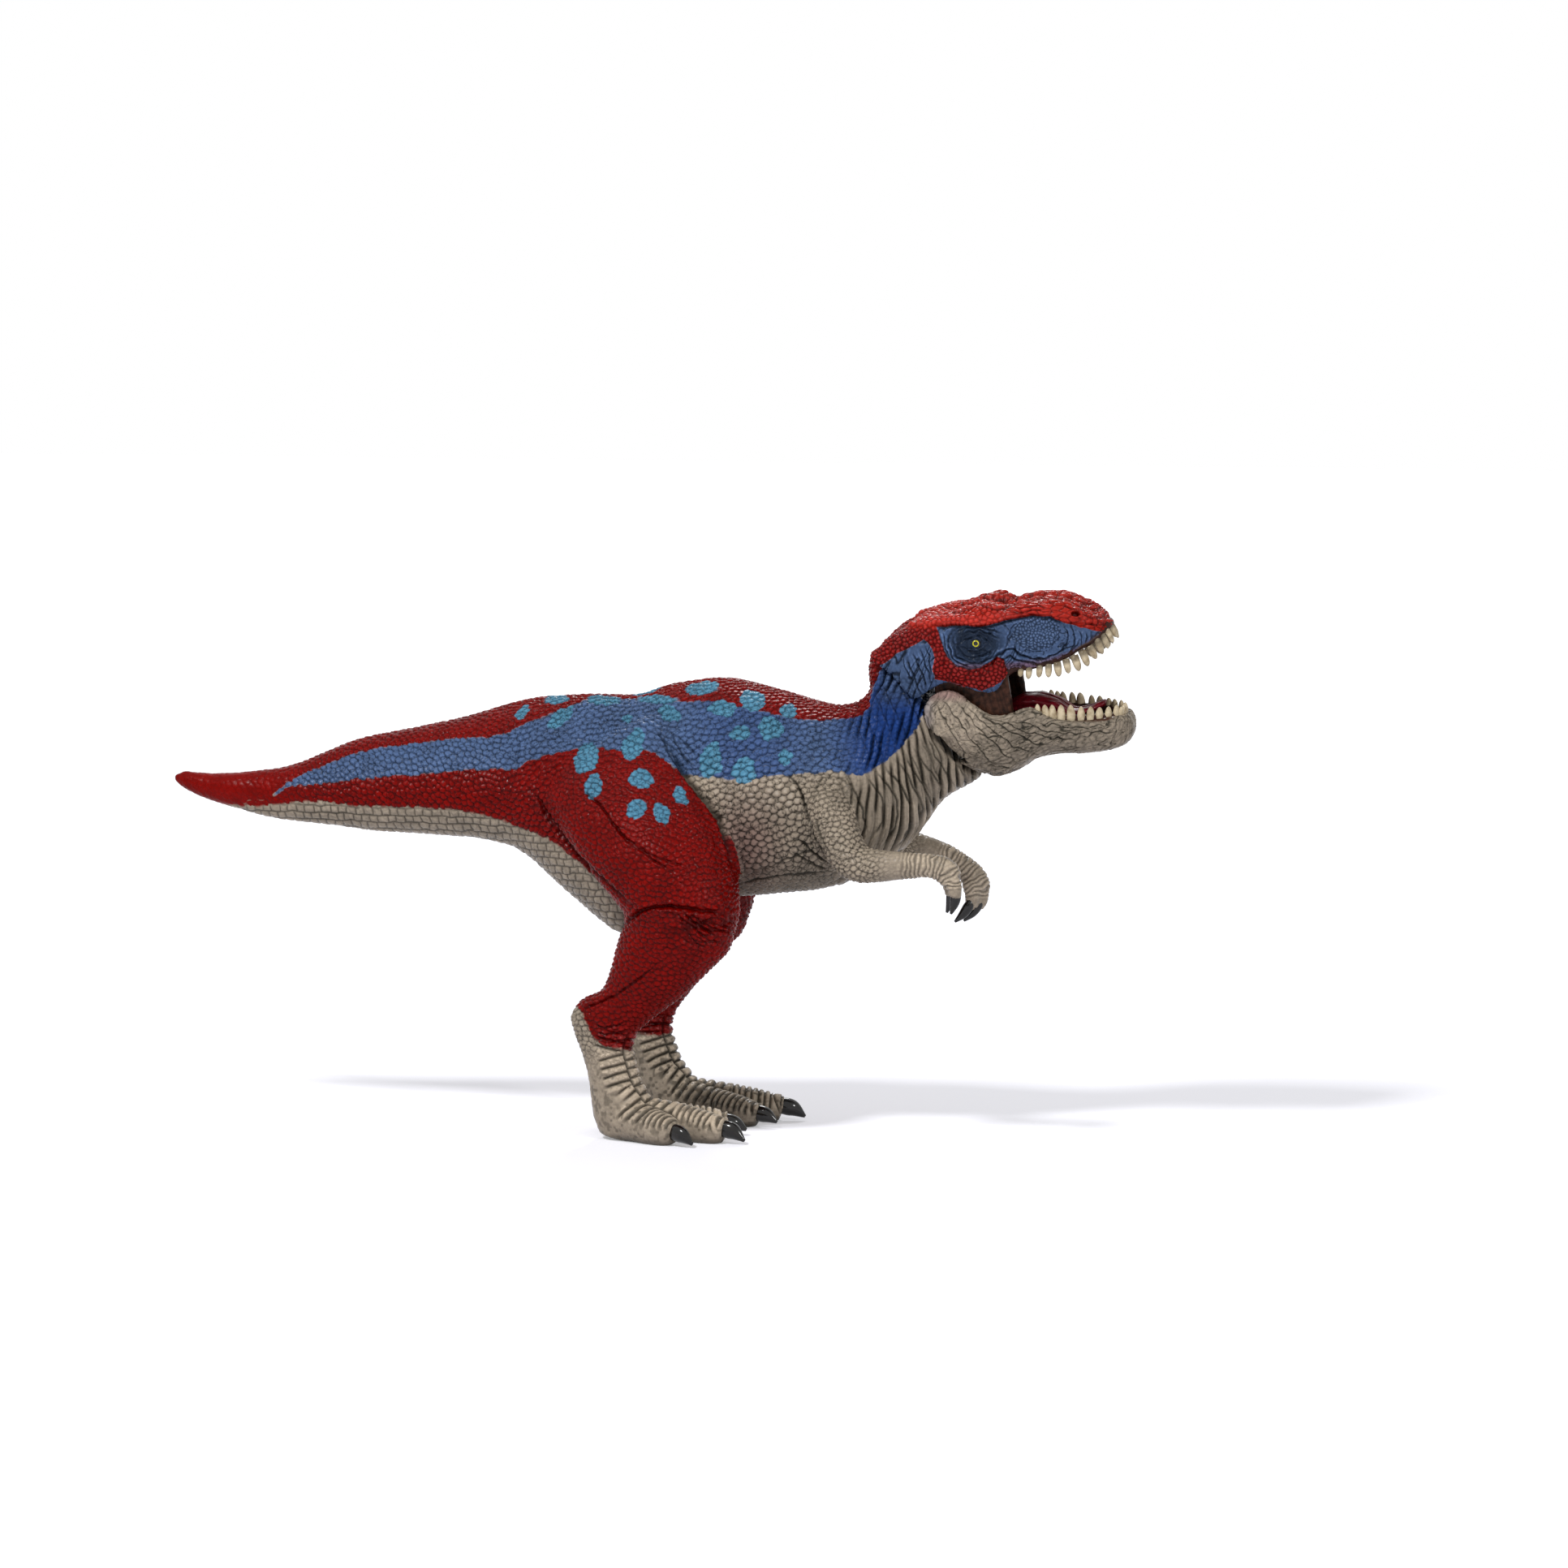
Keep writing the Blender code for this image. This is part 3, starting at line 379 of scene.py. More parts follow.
def shingles(points, size, lie, seed):
    """Scales that overlap like roof tiles: the round free edge points along `lie`, and each scale covers the root of
    the next. Gives the height from 0 to 1, how near a point is below a free edge, and the middle of its scale."""
    middles = cells(points, size, seed)
    tree = tree_of(middles)
    index = np.empty((len(points), 6), np.int64)
    for i, p in enumerate(points):
        index[i] = [found[1] for found in tree.find_n(p, 6)]
    offset = points[:, None, :] - middles[index]
    down = np.einsum("ikj,ij->ik", offset, lie)
    # a scale is a third wider than it is long
    away = np.sqrt((offset ** 2).sum(axis=2) + 0.75 * down ** 2)
    reach = 0.74 * np.broadcast_to(size, len(points))
    covered = away < reach[:, None]
    order = np.where(covered, -down, 1e6)
    order[:, 0] = np.where(covered.any(axis=1), order[:, 0], 0.0)
    own = order.argmin(axis=1)
    rows = np.arange(len(points))
    share = np.clip(away[rows, own] / reach, 0, 1)
    height = (0.55 + 0.60 * np.clip(down[rows, own] / reach, -0.8, 0.8)) * (1 - share ** 5)
    outside = np.where(away >= reach[:, None], away - reach[:, None], 9.0).min(axis=1)
    under_edge = bell(outside, 0.20) + 0.40 * bell((1 - share) * reach, 0.10)
    return height, np.clip(under_edge, 0, 1), middles[index[rows, own]]


def dome(share):
    """Height of a rounded scale: 0 at its edge, 1 over its middle."""
    return 1 - (1 - np.clip(share, 0, 1)) ** 2.4


def bead(edge_distance, reach, size):
    """Height of a round bead from the distances to its edge and to its middle."""
    cap = np.sqrt(np.clip(1 - (reach / (0.62 * size)) ** 2, 0, 1))
    return np.minimum(1 - (1 - np.clip(edge_distance / (0.30 * size), 0, 1)) ** 2, 0.15 + 0.85 * cap)


def bricks(a, b, long, wide, seed):
    """Distance to the edge of blocks laid in rows: a runs along a row and b across the rows."""
    row = np.floor(b / wide)
    shift = (row * 0.618 + 0.13 * np.sin(row * 12.9 + seed)) % 1.0
    part_a, part_b = (a / long + shift) % 1.0, (b / wide) % 1.0
    return np.minimum(np.minimum(part_a, 1 - part_a) * long, np.minimum(part_b, 1 - part_b) * wide)


class Relief:
    """What is carved into a skin: height in mm, how dark the wash and the painted shade in its grooves lie, and where
    they may go.
    """

    def __init__(self, count):
        self.height, self.wash_and_shade = np.zeros(count), np.zeros(count)

    def groove(self, distance, width, depth, weight=1.0):
        profile = bell(distance, width)
        lips = bell(distance - 2.1 * width, 0.9 * width)
        self.height -= weight * depth * (profile - 0.30 * lips)
        # a groove is darkened by wash and by painted shade
        self.wash_and_shade = np.maximum(self.wash_and_shade, weight * profile * np.clip(depth / 0.45, 0.0, 1.0))

    def crease(self, places, scale, line, width, depth):
        """A fold along a line that thins out at both ends."""
        line = np.asarray(line, float)
        reach = 4 * width * scale
        there = ((places > line.min(axis=0) - reach) & (places < line.max(axis=0) + reach)).all(axis=1)
        index = np.flatnonzero(there)
        if len(index):
            distance, place = along(places[index], line)
            taper = np.clip(5 * np.minimum(place, 1 - place), 0.15, 1.0)
            part = Relief(len(index))
            part.groove(distance / scale, width, depth, taper)
            self.height[index] += part.height
            self.wash_and_shade[index] = np.maximum(self.wash_and_shade[index], part.wash_and_shade)


# ---------------------------------------------------------------- materials
def colour(text):
    """An sRGB hex colour as linear values."""
    parts = [int(text[i : i + 2], 16) / 255 for i in (1, 3, 5)]
    return (*[c / 12.92 if c <= 0.04045 else ((c + 0.055) / 1.055) ** 2.4 for c in parts], 1.0)


def add(tree, kind, sockets=(), **settings):
    """Adds a shader node with its settings; a socket's value is a constant or the output that feeds it."""
    made = tree.nodes.new("ShaderNode" + kind)
    for key, value in settings.items():
        setattr(made, key, value)
    for key, value in dict(sockets).items():
        if isinstance(value, bpy.types.NodeSocket):
            tree.links.new(value, made.inputs[key])
        else:
            made.inputs[key].default_value = value
    return made


def new_material(name):
    material = bpy.data.materials.new(name)
    material.use_nodes = True
    tree = material.node_tree
    tree.nodes.clear()
    return material, tree


# A Mix node for colours has sockets of the same names for numbers, so its own are taken by their places
SHARE, BELOW, ABOVE, MIXED = 0, 6, 7, 2
COAT = {"data_type": "RGBA"}
GLAZE = {"data_type": "RGBA", "blend_type": "MULTIPLY"}

RED, CROWN_RED, BLUE, DEEP_BLUE, TEAL = "#780602", "#9E1A07", "#4E648A", "#1C3A76", "#5086A2"
BEIGE, BROWN, PINK = "#9E9180", "#4E3226", "#7E5058"
DIRT_AND_SHADE_BROWN, WHITE = "#1A100C", "#FFFFFF"
# What the paint under a coat is multiplied by: pale dry brushing with painted highlight, dark wash with painted
# shade, and the same wash and shade on red, where it hardly shows
DRY_BRUSH_AND_HIGHLIGHT = (1.70, 1.66, 1.60, 1.0)
WASHED_AND_SHADED, WASHED_AND_SHADED_RED = (0.12, 0.125, 0.12, 1.0), (0.26, 0.22, 0.22, 1.0)


def painted_vinyl(name):
    """Hand-painted soft vinyl (PVC): matt to satin acrylic coats over a satin moulding, dark wash and painted shade in
    the grooves and paler dry-brushed tops with painted highlight, so each scale reads as a small bead with a soft
    glint."""
    material, tree = new_material(name)
    mask, crisp = {}, {}
    for label in ("red", "crown", "blue", "deep", "teal", "blush", "brown", "tops", "wash_and_shade"):
        mask[label] = add(tree, "Attribute", attribute_name=label).outputs["Fac"]
    # the borders of the three main coats are sharper than the skin's points are close
    for label in ("red", "blue", "teal"):
        crisp[label] = add(tree, "MapRange", {"Value": mask[label], "From Min": 0.3, "From Max": 0.7}).outputs["Result"]
    tint = colour(BEIGE)
    for share, paint in (
        (crisp["red"], RED), (mask["crown"], CROWN_RED), (crisp["blue"], BLUE), (mask["deep"], DEEP_BLUE),
        (crisp["teal"], TEAL), (mask["blush"], PINK), (mask["brown"], BROWN),
    ):
        tint = add(tree, "Mix", {SHARE: share, BELOW: tint, ABOVE: colour(paint)}, **COAT).outputs[MIXED]
    # painted highlight and dry brushing: the tops go toward a paler copy of the paint
    brushed_and_lit = add(tree, "Mix", {SHARE: 1.0, BELOW: tint, ABOVE: DRY_BRUSH_AND_HIGHLIGHT}, **GLAZE).outputs[MIXED]
    brushed_and_lit = add(tree, "Mix", {SHARE: 0.03, BELOW: brushed_and_lit, ABOVE: colour(WHITE)}, **COAT).outputs[MIXED]
    tint = add(tree, "Mix", {SHARE: mask["tops"], BELOW: tint, ABOVE: brushed_and_lit}, **COAT).outputs[MIXED]
    # brushed paint is uneven over 6 mm, sprayed pigment over 0.8 mm; object coordinates are metres
    place = add(tree, "TexCoord").outputs["Object"]
    broad = add(tree, "TexNoise", {"Vector": place, "Scale": 1 / 0.006, "Detail": 3.0}).outputs["Fac"]
    fine = add(tree, "TexNoise", {"Vector": place, "Scale": 1 / 0.0008, "Detail": 2.0}).outputs["Fac"]
    uneven, speck, gloss = [
        add(tree, "MapRange", {
            "Value": value, "From Min": 0.3, "From Max": 0.7, "To Min": low, "To Max": high,
        }).outputs["Result"]
        for value, low, high in ((broad, 0.80, 1.12), (fine, 0.90, 1.08), (broad, 0.20, 0.34))
    ]
    shade = add(tree, "Math", {0: uneven, 1: speck}, operation="MULTIPLY").outputs["Value"]
    grey = add(tree, "CombineColor", {"Red": shade, "Green": shade, "Blue": shade}).outputs["Color"]
    tint = add(tree, "Mix", {SHARE: 1.0, BELOW: tint, ABOVE: grey}, **GLAZE).outputs[MIXED]
    # wash and painted shade: the grooves go toward a darker copy of the paint, less dark on red
    wash_and_shade_glaze = add(tree, "Mix", {SHARE: mask["red"], BELOW: WASHED_AND_SHADED, ABOVE: WASHED_AND_SHADED_RED}, **COAT).outputs[MIXED]
    shaded_and_washed = add(tree, "Mix", {SHARE: 1.0, BELOW: tint, ABOVE: wash_and_shade_glaze}, **GLAZE).outputs[MIXED]
    tint = add(tree, "Mix", {SHARE: mask["wash_and_shade"], BELOW: tint, ABOVE: shaded_and_washed}, **COAT).outputs[MIXED]
    bumps = add(tree, "Bump", {"Strength": 0.35, "Distance": 0.00012, "Height": fine}).outputs["Normal"]
    shader = add(tree, "BsdfPrincipled", {
        "Base Color": tint, "Roughness": gloss, "IOR": 1.5, "Specular IOR Level": 0.07, "Normal": bumps,
    })
    add(tree, "OutputMaterial", {"Surface": shader.outputs[0]})
    return material


def plain_paint(name, base, dark, grain, roughness, coat, bump):
    """One paint over vinyl: uneven over `grain` mm, darker where it is thin."""
    material, tree = new_material(name)
    place = add(tree, "TexCoord").outputs["Object"]
    cloud = add(tree, "TexNoise", {"Vector": place, "Scale": 1 / (grain * MM), "Detail": 3.0}).outputs["Fac"]
    share = add(tree, "MapRange", {"Value": cloud, "From Min": 0.35, "From Max": 0.70}).outputs["Result"]
    wash_and_shade = add(tree, "Attribute", attribute_name="wash_and_shade").outputs["Fac"]
    tint = add(tree, "Mix", {SHARE: share, BELOW: colour(base), ABOVE: colour(dark)}, **COAT).outputs[MIXED]
    # dirt and painted shade: the paint goes toward dark brown where the wash value is high
    soiled_and_shaded = add(tree, "Mix", {SHARE: 0.8, BELOW: tint, ABOVE: colour(DIRT_AND_SHADE_BROWN)}, **COAT).outputs[MIXED]
    tint = add(tree, "Mix", {SHARE: wash_and_shade, BELOW: tint, ABOVE: soiled_and_shaded}, **COAT).outputs[MIXED]
    uneven = add(tree, "MapRange", {
        "Value": cloud, "From Min": 0.3, "From Max": 0.7, "To Min": roughness - 0.06, "To Max": roughness + 0.06,
    }).outputs["Result"]
    bumps = add(tree, "Bump", {"Strength": bump, "Distance": 0.0001, "Height": cloud}).outputs["Normal"]
    shader = add(tree, "BsdfPrincipled", {
        "Base Color": tint, "Roughness": uneven, "IOR": 1.5, "Specular IOR Level": 0.1, "Normal": bumps,
        "Coat Weight": coat, "Coat Roughness": 0.12,
    })
    add(tree, "OutputMaterial", {"Surface": shader.outputs[0]})
    return material


SKIN = painted_vinyl("hand_painted_vinyl_skin")
# Claws: thick gloss black over vinyl, nearly even, with one clear highlight along each
CLAW = plain_paint("black_gloss_claw_paint", "#0C0B0C", "#17130F", 2.5, 0.22, 0.6, 0.1)
# Teeth: satin cream, browner towards the gums
TOOTH = plain_paint("cream_satin_tooth_paint", "#C8B99C", "#97866A", 1.6, 0.30, 0.1, 0.2)
# Gums: matt dark brown that lets the pale teeth stand out
GUM = plain_paint("dark_gum_paint", "#3A2019", "#24120D", 1.2, 0.45, 0.05, 0.4)
# Tongue: dark red with a soft wet sheen
TONGUE = plain_paint("dark_red_gloss_tongue_paint", "#6A0F1B", "#430910", 1.5, 0.36, 0.1, 0.4)
# Skin of the mouth corner: brown dry-brushed over nearly black, so its folds read as streaks
MEMBRANE = plain_paint("brown_dry_brushed_mouth_skin", "#4E3023", "#170C07", 1.4, 0.40, 0.0, 0.6)
# Eyes: gloss yellow ring round a gloss black pupil, which carries the sharpest highlight
IRIS = plain_paint("yellow_gloss_eye_paint", "#C8C412", "#A39A0E", 0.6, 0.2, 0.3, 0.0)
PUPIL = plain_paint("black_gloss_pupil_paint", "#060606", "#0C0A08", 0.6, 0.12, 0.8, 0.0)
# Hinge pin: unpainted grey vinyl, satin
PIN = plain_paint("bare_grey_vinyl_pin", "#8D8880", "#7D7870", 1.0, 0.45, 0.0, 0.2)


def make_piece(name, points, faces, material, body="figure", layers=None, normals=None):
    """A piece from points in mm and one or more tables of faces, riding on a body."""
    mesh = bpy.data.meshes.new(name)
    tables = [f for f in faces if len(f)]
    sizes = np.concatenate([np.full(len(f), f.shape[1]) for f in tables])
    mesh.vertices.add(len(points))
    mesh.vertices.foreach_set("co", (points * MM).astype(np.float32).ravel())
    mesh.loops.add(int(sizes.sum()))
    mesh.loops.foreach_set("vertex_index", np.concatenate([f.ravel() for f in tables]).astype(np.int32))
    mesh.polygons.add(len(sizes))
    mesh.polygons.foreach_set("loop_start", (np.cumsum(sizes) - sizes).astype(np.int32))
    mesh.update(calc_edges=True)
    mesh.shade_smooth()
    for label, values in (layers or {}).items():
        mesh.attributes.new(label, "FLOAT", "POINT").data.foreach_set("value", values.astype(np.float32))
    if normals is not None:
        mesh.normals_split_custom_set_from_vertices(normals.tolist())
    mesh.materials.append(material)
    made = bpy.data.objects.new(name, mesh)
    bpy.context.scene.collection.objects.link(made)
    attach(made, body)
    return made


# ---------------------------------------------------------------- body: paint
# Borders of the paint as pixels of the photograph, from the tail to the head
RED_ABOVE = (
    (200, 1000), (330, 985), (355, 965), (380, 952), (407, 940), (433, 930), (467, 922), (500, 917), (533, 913),
    (567, 910), (600, 908), (622, 904), (638, 896), (664, 885), (693, 873), (720, 864), (761, 860), (835, 864),
    (873, 864), (908, 870), (938, 877), (979, 886), (1007, 888), (1032, 886), (1058, 884), (1071, 873), (1074, 853),
    (1079, 835), (1089, 823), (1093, 815), (1105, 806), (1117, 800), (1129, 794), (1138, 788), (1160, 770),
)
BLUE_ABOVE = (
    (200, 1000), (330, 985), (358, 969), (387, 967), (433, 961), (483, 956), (533, 953), (577, 948), (617, 947),
    (637, 948), (649, 938), (679, 929), (708, 923), (738, 921), (767, 926), (790, 921), (808, 929), (826, 940),
    (838, 952), (873, 958), (902, 961), (940, 958), (963, 955), (994, 953), (1026, 950), (1060, 955), (1079, 946),
    (1098, 933), (1113, 917), (1126, 902), (1134, 884), (1150, 860),
)
GREY_BELOW = (
    (200, 1040), (250, 1002), (285, 991), (320, 993), (367, 988), (407, 988), (440, 994), (483, 993), (527, 995),
    (560, 998), (593, 1003), (620, 1010), (649, 1023), (679, 1035), (717, 1064), (752, 1093), (785, 1117), (905, 1112),
)
THIGH_FRONT = (
    (940, 828), (952, 838), (967, 852), (988, 870), (1011, 885), (1043, 896), (1073, 904), (1100, 906), (1400, 906),
)
ANKLE = ((690, 1225), (705, 1232), (718, 1250), (730, 1276), (745, 1289), (775, 1294), (800, 1290))
# Light blue spots: middle, width, height and tilt in degrees
SPOTS = (
    (644, 878, 22, 12, -45), (686, 862, 30, 11, -6), (690, 884, 38, 16, -38), (744, 863, 42, 11, 0),
    (722, 934, 26, 42, 22), (730, 968, 19, 31, 15), (773, 885, 12, 10, 0), (780, 918, 24, 40, 22),
    (790, 960, 30, 23, 0), (784, 997, 26, 22, -25), (815, 1002, 19, 26, -20), (839, 981, 15, 24, -30),
    (797, 852, 34, 7, -12), (810, 862, 50, 10, 0), (825, 878, 28, 19, 20), (866, 848, 42, 17, -6),
    (890, 873, 34, 19, 0), (927, 863, 31, 26, 15), (971, 876, 19, 18, 0), (949, 897, 30, 28, 0),
    (912, 903, 26, 18, 0), (876, 937, 27, 46, 8), (917, 950, 30, 34, 0), (968, 933, 18, 18, 0),
)
# How far the left leg stands in front of the right one, by height in mm
LEG_STEP = (
    (0, 4.5), (6.6, 3.6), (12, 1.8), (17, 0.9), (27, 0), (32.6, -0.9), (37, -2.7), (41, -5.8), (47, -8.5), (54, -7.6),
    (64, -6.7), (73, -6.3), (82, -5.4), (92, -4.0), (103, -2.7), (111, -0.9), (125, 0),
)


# Where regions blend into each other: from and to, as pixels across the photograph from tail to head
TAIL_END, TAIL_TIP, TAIL_ROOT, HIP, BELLY_ALONG, CHEST, NECK = (
    (290, 420), (330, 470), (560, 660), (690, 830), (780, 880), (820, 900), (1005, 1075),
)
# as pixels down the photograph
BELLY_DOWN, THIGH_DOWN = (1055, 1085), (1015, 1045)
# as height of feet and shanks, and as place of hands and wrists in front of the figure's middle, in mm
FOOT, SHANK, HAND, WRIST = (13, 36), (34, 66), (66, 76), (70, 78)


def edge(value, width):
    """Paint border: 0 to 1 as a distance goes through 0."""
    return smooth(0.5 + value / (2 * width))


def oval(places, middle, width, height, tilt=0.0):
    """How far each place is from an oval's middle, 1 at its rim."""
    turn = math.radians(tilt)
    dx, dy = places[:, 0] - middle[0], places[:, 1] - middle[1]
    a = (dx * math.cos(turn) + dy * math.sin(turn)) / (width / 2)
    b = (dy * math.cos(turn) - dx * math.sin(turn)) / (height / 2)
    return np.hypot(a, b)


def spot_mask(places, wobble):
    total = np.zeros(len(places))
    for x, y, width, height, tilt in SPOTS:
        round_share = oval(places, (x, y), width, height, tilt) + 0.12 * wobble
        total = np.maximum(total, edge((1 - round_share) * min(width, height) / 2, 1.3))
    return total


def body_paint(places, leg, arm, wobble):
    """The paint masks of trunk, tail, legs and arms, by the pixels at which their points would be seen."""
    u, v = places[:, 0], places[:, 1]
    red_top = edge(at(RED_ABOVE, u) - v, 2.0)
    above = edge(at(BLUE_ABOVE, u) - v, 2.2)
    # the blue band begins in a point near the tail's end
    blue = above * (1 - red_top) * ramp(u, 333, 342)
    thigh = np.maximum(edge(at(THIGH_FRONT, v) - u, 4.0), leg * ramp(v, *THIGH_DOWN))
    under = edge(at(GREY_BELOW, u) - v, 3.5)
    side = (1 - above) * thigh * np.where(leg > 0.5, 1.0, under)
    side = side * np.where(leg > 0.5, edge(at(ANKLE, u) - v, 7.0), 1.0)
    red = np.maximum(red_top, side) * (1 - arm)
    blue = blue * (1 - arm)
    # darker blue on the neck, but not behind the head's lower corner, and a little on the flank
    neck = ramp(u, 1000, 1085) * blue * (1 - 0.75 * ramp(u, 1070, 1095) * (1 - ramp(v, 845, 880)))
    flank = ramp(u, 830, 900) * (1 - ramp(u, 940, 1010)) * 0.35 * blue
    # a brownish pink cloud on the belly in front of the thigh
    cloud = bell(np.hypot((u - 915) / 42, (v - 1045) / 52), 1.0)
    blush = 0.75 * cloud * (1 - red) * (1 - blue) * (1 - arm)
    return {
        "red": red, "blue": blue, "deep": np.clip(neck + flank, 0, 1), "teal": spot_mask(places, wobble) * (1 - arm),
        "blush": blush * 0.6, "brown": blush * 0.5, "crown": np.zeros(len(u)),
    }


# ---------------------------------------------------------------- body: relief
# Folds as width and depth in mm and a line of pixels of the photograph
BODY_FOLDS = (
    # throat and neck, from the shoulder to the jaw
    (0.55, 0.55, ((1040, 950), (1047, 964), (1056, 981), (1062, 997), (1066, 1011), (1069, 1030))),
    (0.50, 0.50, ((1063, 947), (1069, 958), (1077, 969), (1086, 983), (1088, 997), (1087, 1014), (1077, 1028),
        (1070, 1036))),
    (0.50, 0.55, ((1074, 946), (1086, 958), (1097, 972), (1104, 986), (1105, 1003), (1102, 1019), (1094, 1033),
        (1084, 1047))),
    (0.55, 0.60, ((1086, 939), (1097, 953), (1108, 964), (1115, 978), (1122, 992), (1123, 1008), (1119, 1022),
        (1108, 1039), (1096, 1052))),
    (0.50, 0.50, ((1097, 932), (1111, 944), (1119, 956), (1124, 969), (1133, 983), (1137, 997), (1134, 1015),
        (1124, 1034))),
    (0.50, 0.50, ((1113, 925), (1119, 939), (1127, 953), (1136, 967), (1144, 981), (1148, 993), (1147, 1008))),
    (0.45, 0.45, ((1124, 917), (1130, 931), (1138, 942), (1149, 953), (1158, 967), (1164, 982))),
    (0.45, 0.45, ((1141, 906), (1149, 919), (1152, 933), (1161, 944), (1169, 956), (1177, 970))),
    (0.45, 0.40, ((1155, 917), (1166, 928), (1177, 939), (1186, 953), (1193, 964))),
    (0.40, 0.35, ((1117, 924), (1129, 944), (1138, 965), (1149, 982))),
    (0.40, 0.35, ((1133, 906), (1144, 929), (1152, 950), (1164, 971))),
    # side of the neck
    (0.40, 0.40, ((1096, 818), (1108, 841), (1120, 865), (1130, 882), (1139, 898))),
    (0.40, 0.40, ((1083, 834), (1094, 859), (1105, 882), (1114, 900), (1119, 920))),
    (0.40, 0.35, ((1077, 853), (1088, 876), (1096, 900), (1104, 922))),
    (0.40, 0.35, ((1066, 880), (1074, 900), (1083, 921), (1091, 938))),
    (0.35, 0.30, ((1052, 888), (1060, 906), (1068, 924), (1075, 942))),
    (0.35, 0.30, ((1107, 812), (1117, 832), (1128, 856), (1137, 872))),
    (0.30, 0.25, ((1088, 826), (1084, 846), (1092, 868))),
    (0.30, 0.25, ((1060, 872), (1064, 862), (1070, 850), (1075, 840))),
    # armpit and shoulder
    (0.50, 0.50, ((976, 960), (986, 972), (992, 989), (998, 1011), (1005, 1031), (1019, 1056))),
    (0.45, 0.40, ((966, 950), (983, 967), (990, 981), (993, 1001))),
    (0.45, 0.45, ((984, 1031), (999, 1047), (1013, 1058), (1026, 1066))),
    (0.40, 0.35, ((974, 1046), (990, 1058), (1006, 1066), (1022, 1072))),
    (0.45, 0.45, ((1004, 1003), (1008, 1022), (1016, 1040), (1029, 1059))),
    (0.50, 0.45, ((1003, 985), (1005, 971), (1014, 960), (1028, 957), (1042, 963), (1051, 978))),
    (0.35, 0.25, ((1012, 978), (1018, 968), (1029, 965), (1039, 971))),
    # thigh: its front, the fold over the hip and the creases down its side
    (1.10, 1.20, ((820, 905), (832, 930), (840, 950), (853, 967), (871, 988), (886, 1011), (897, 1043),
        (905, 1073), (907, 1100))),
    (0.60, 0.60, ((806, 898), (818, 912), (826, 930), (834, 944))),
    (0.50, 0.40, ((826, 902), (832, 914), (842, 930), (856, 944))),
    (0.40, 0.30, ((836, 906), (846, 918), (858, 930))),
    (0.55, 0.50, ((708, 964), (726, 980), (743, 996), (761, 1023), (785, 1044), (811, 1064), (842, 1080))),
    (0.45, 0.35, ((752, 1008), (762, 1024), (776, 1040), (791, 1050))),
    (0.40, 0.30, ((778, 1036), (800, 1052), (824, 1062), (850, 1068))),
    (0.80, 0.80, ((650, 966), (664, 985), (678, 1008), (693, 1029), (712, 1052), (736, 1076), (762, 1100),
        (786, 1122))),
    (0.50, 0.45, ((664, 985), (672, 1006), (684, 1024))),
    # knee
    (0.85, 0.90, ((764, 1148), (774, 1136), (788, 1124), (802, 1118), (820, 1117), (838, 1119), (855, 1121),
        (880, 1124), (906, 1130))),
    (0.50, 0.50, ((830, 1121), (842, 1135), (858, 1147), (876, 1160))),
    (0.50, 0.50, ((840, 1122), (853, 1135), (868, 1145), (886, 1156))),
    (0.45, 0.45, ((852, 1126), (864, 1136), (880, 1144), (896, 1150))),
    (0.45, 0.40, ((858, 1130), (874, 1137), (890, 1141), (904, 1143))),
    (0.40, 0.35, ((836, 1136), (846, 1150), (858, 1162), (872, 1170))),
    # shank, hock and ankle
    (0.45, 0.35, ((735, 1236), (760, 1226), (790, 1204), (815, 1182))),
    (0.55, 0.50, ((712, 1250), (726, 1240), (744, 1232), (764, 1226))),
    (0.40, 0.40, ((730, 1262), (745, 1266), (760, 1264), (775, 1258))),
    (0.40, 0.40, ((730, 1270), (745, 1275), (760, 1273), (777, 1268))),
    (0.40, 0.35, ((729, 1279), (745, 1284), (760, 1283), (778, 1279))),
    # ribs and the flat fold along the belly
    (0.50, 0.30, ((900, 1092), (930, 1084), (965, 1078), (1000, 1074), (1030, 1072))),
    (0.45, 0.25, ((940, 1072), (968, 1058), (990, 1050), (1010, 1047))),
    # seam of the tail, filled with paint
    (0.22, 0.18, ((634, 896), (638, 915), (636, 935), (634, 950), (636, 962))),
)
SHOULDERS = {-1: np.array((56.0, -15.7, 95.94)), 1: np.array((56.0, 15.7, 95.94))}
ARM_LINES = {
    -1: ((0, 0, 0), (3.0, 3.4, -4.9), (6.1, 5.5, -11.0), (9.9, 6.5, -16.3), (15.2, 6.8, -17.3), (22.0, 6.8, -17.1),
         (28.1, 6.8, -16.9), (31.9, 6.8, -16.9), (35.7, 6.6, -18.0), (37.6, 6.5, -20.9), (37.8, 6.5, -24)),
    1: ((0, 0, 0), (3.0, 3.4, -4.9), (5.7, 5.5, -10.3), (9.5, 6.5, -14.8), (14.4, 6.8, -16.1), (20.1, 6.8, -17.1),
        (25.8, 6.8, -18.8), (30.4, 6.8, -21.3), (34.2, 6.6, -24.7), (36.1, 6.5, -28.1), (36.1, 6.5, -31)),
}
# How far each ankle is from the figure's middle, and how far the left toes stand in front of the right ones
FOOT_Y, LEFT_STEP = 20.5, 4.5
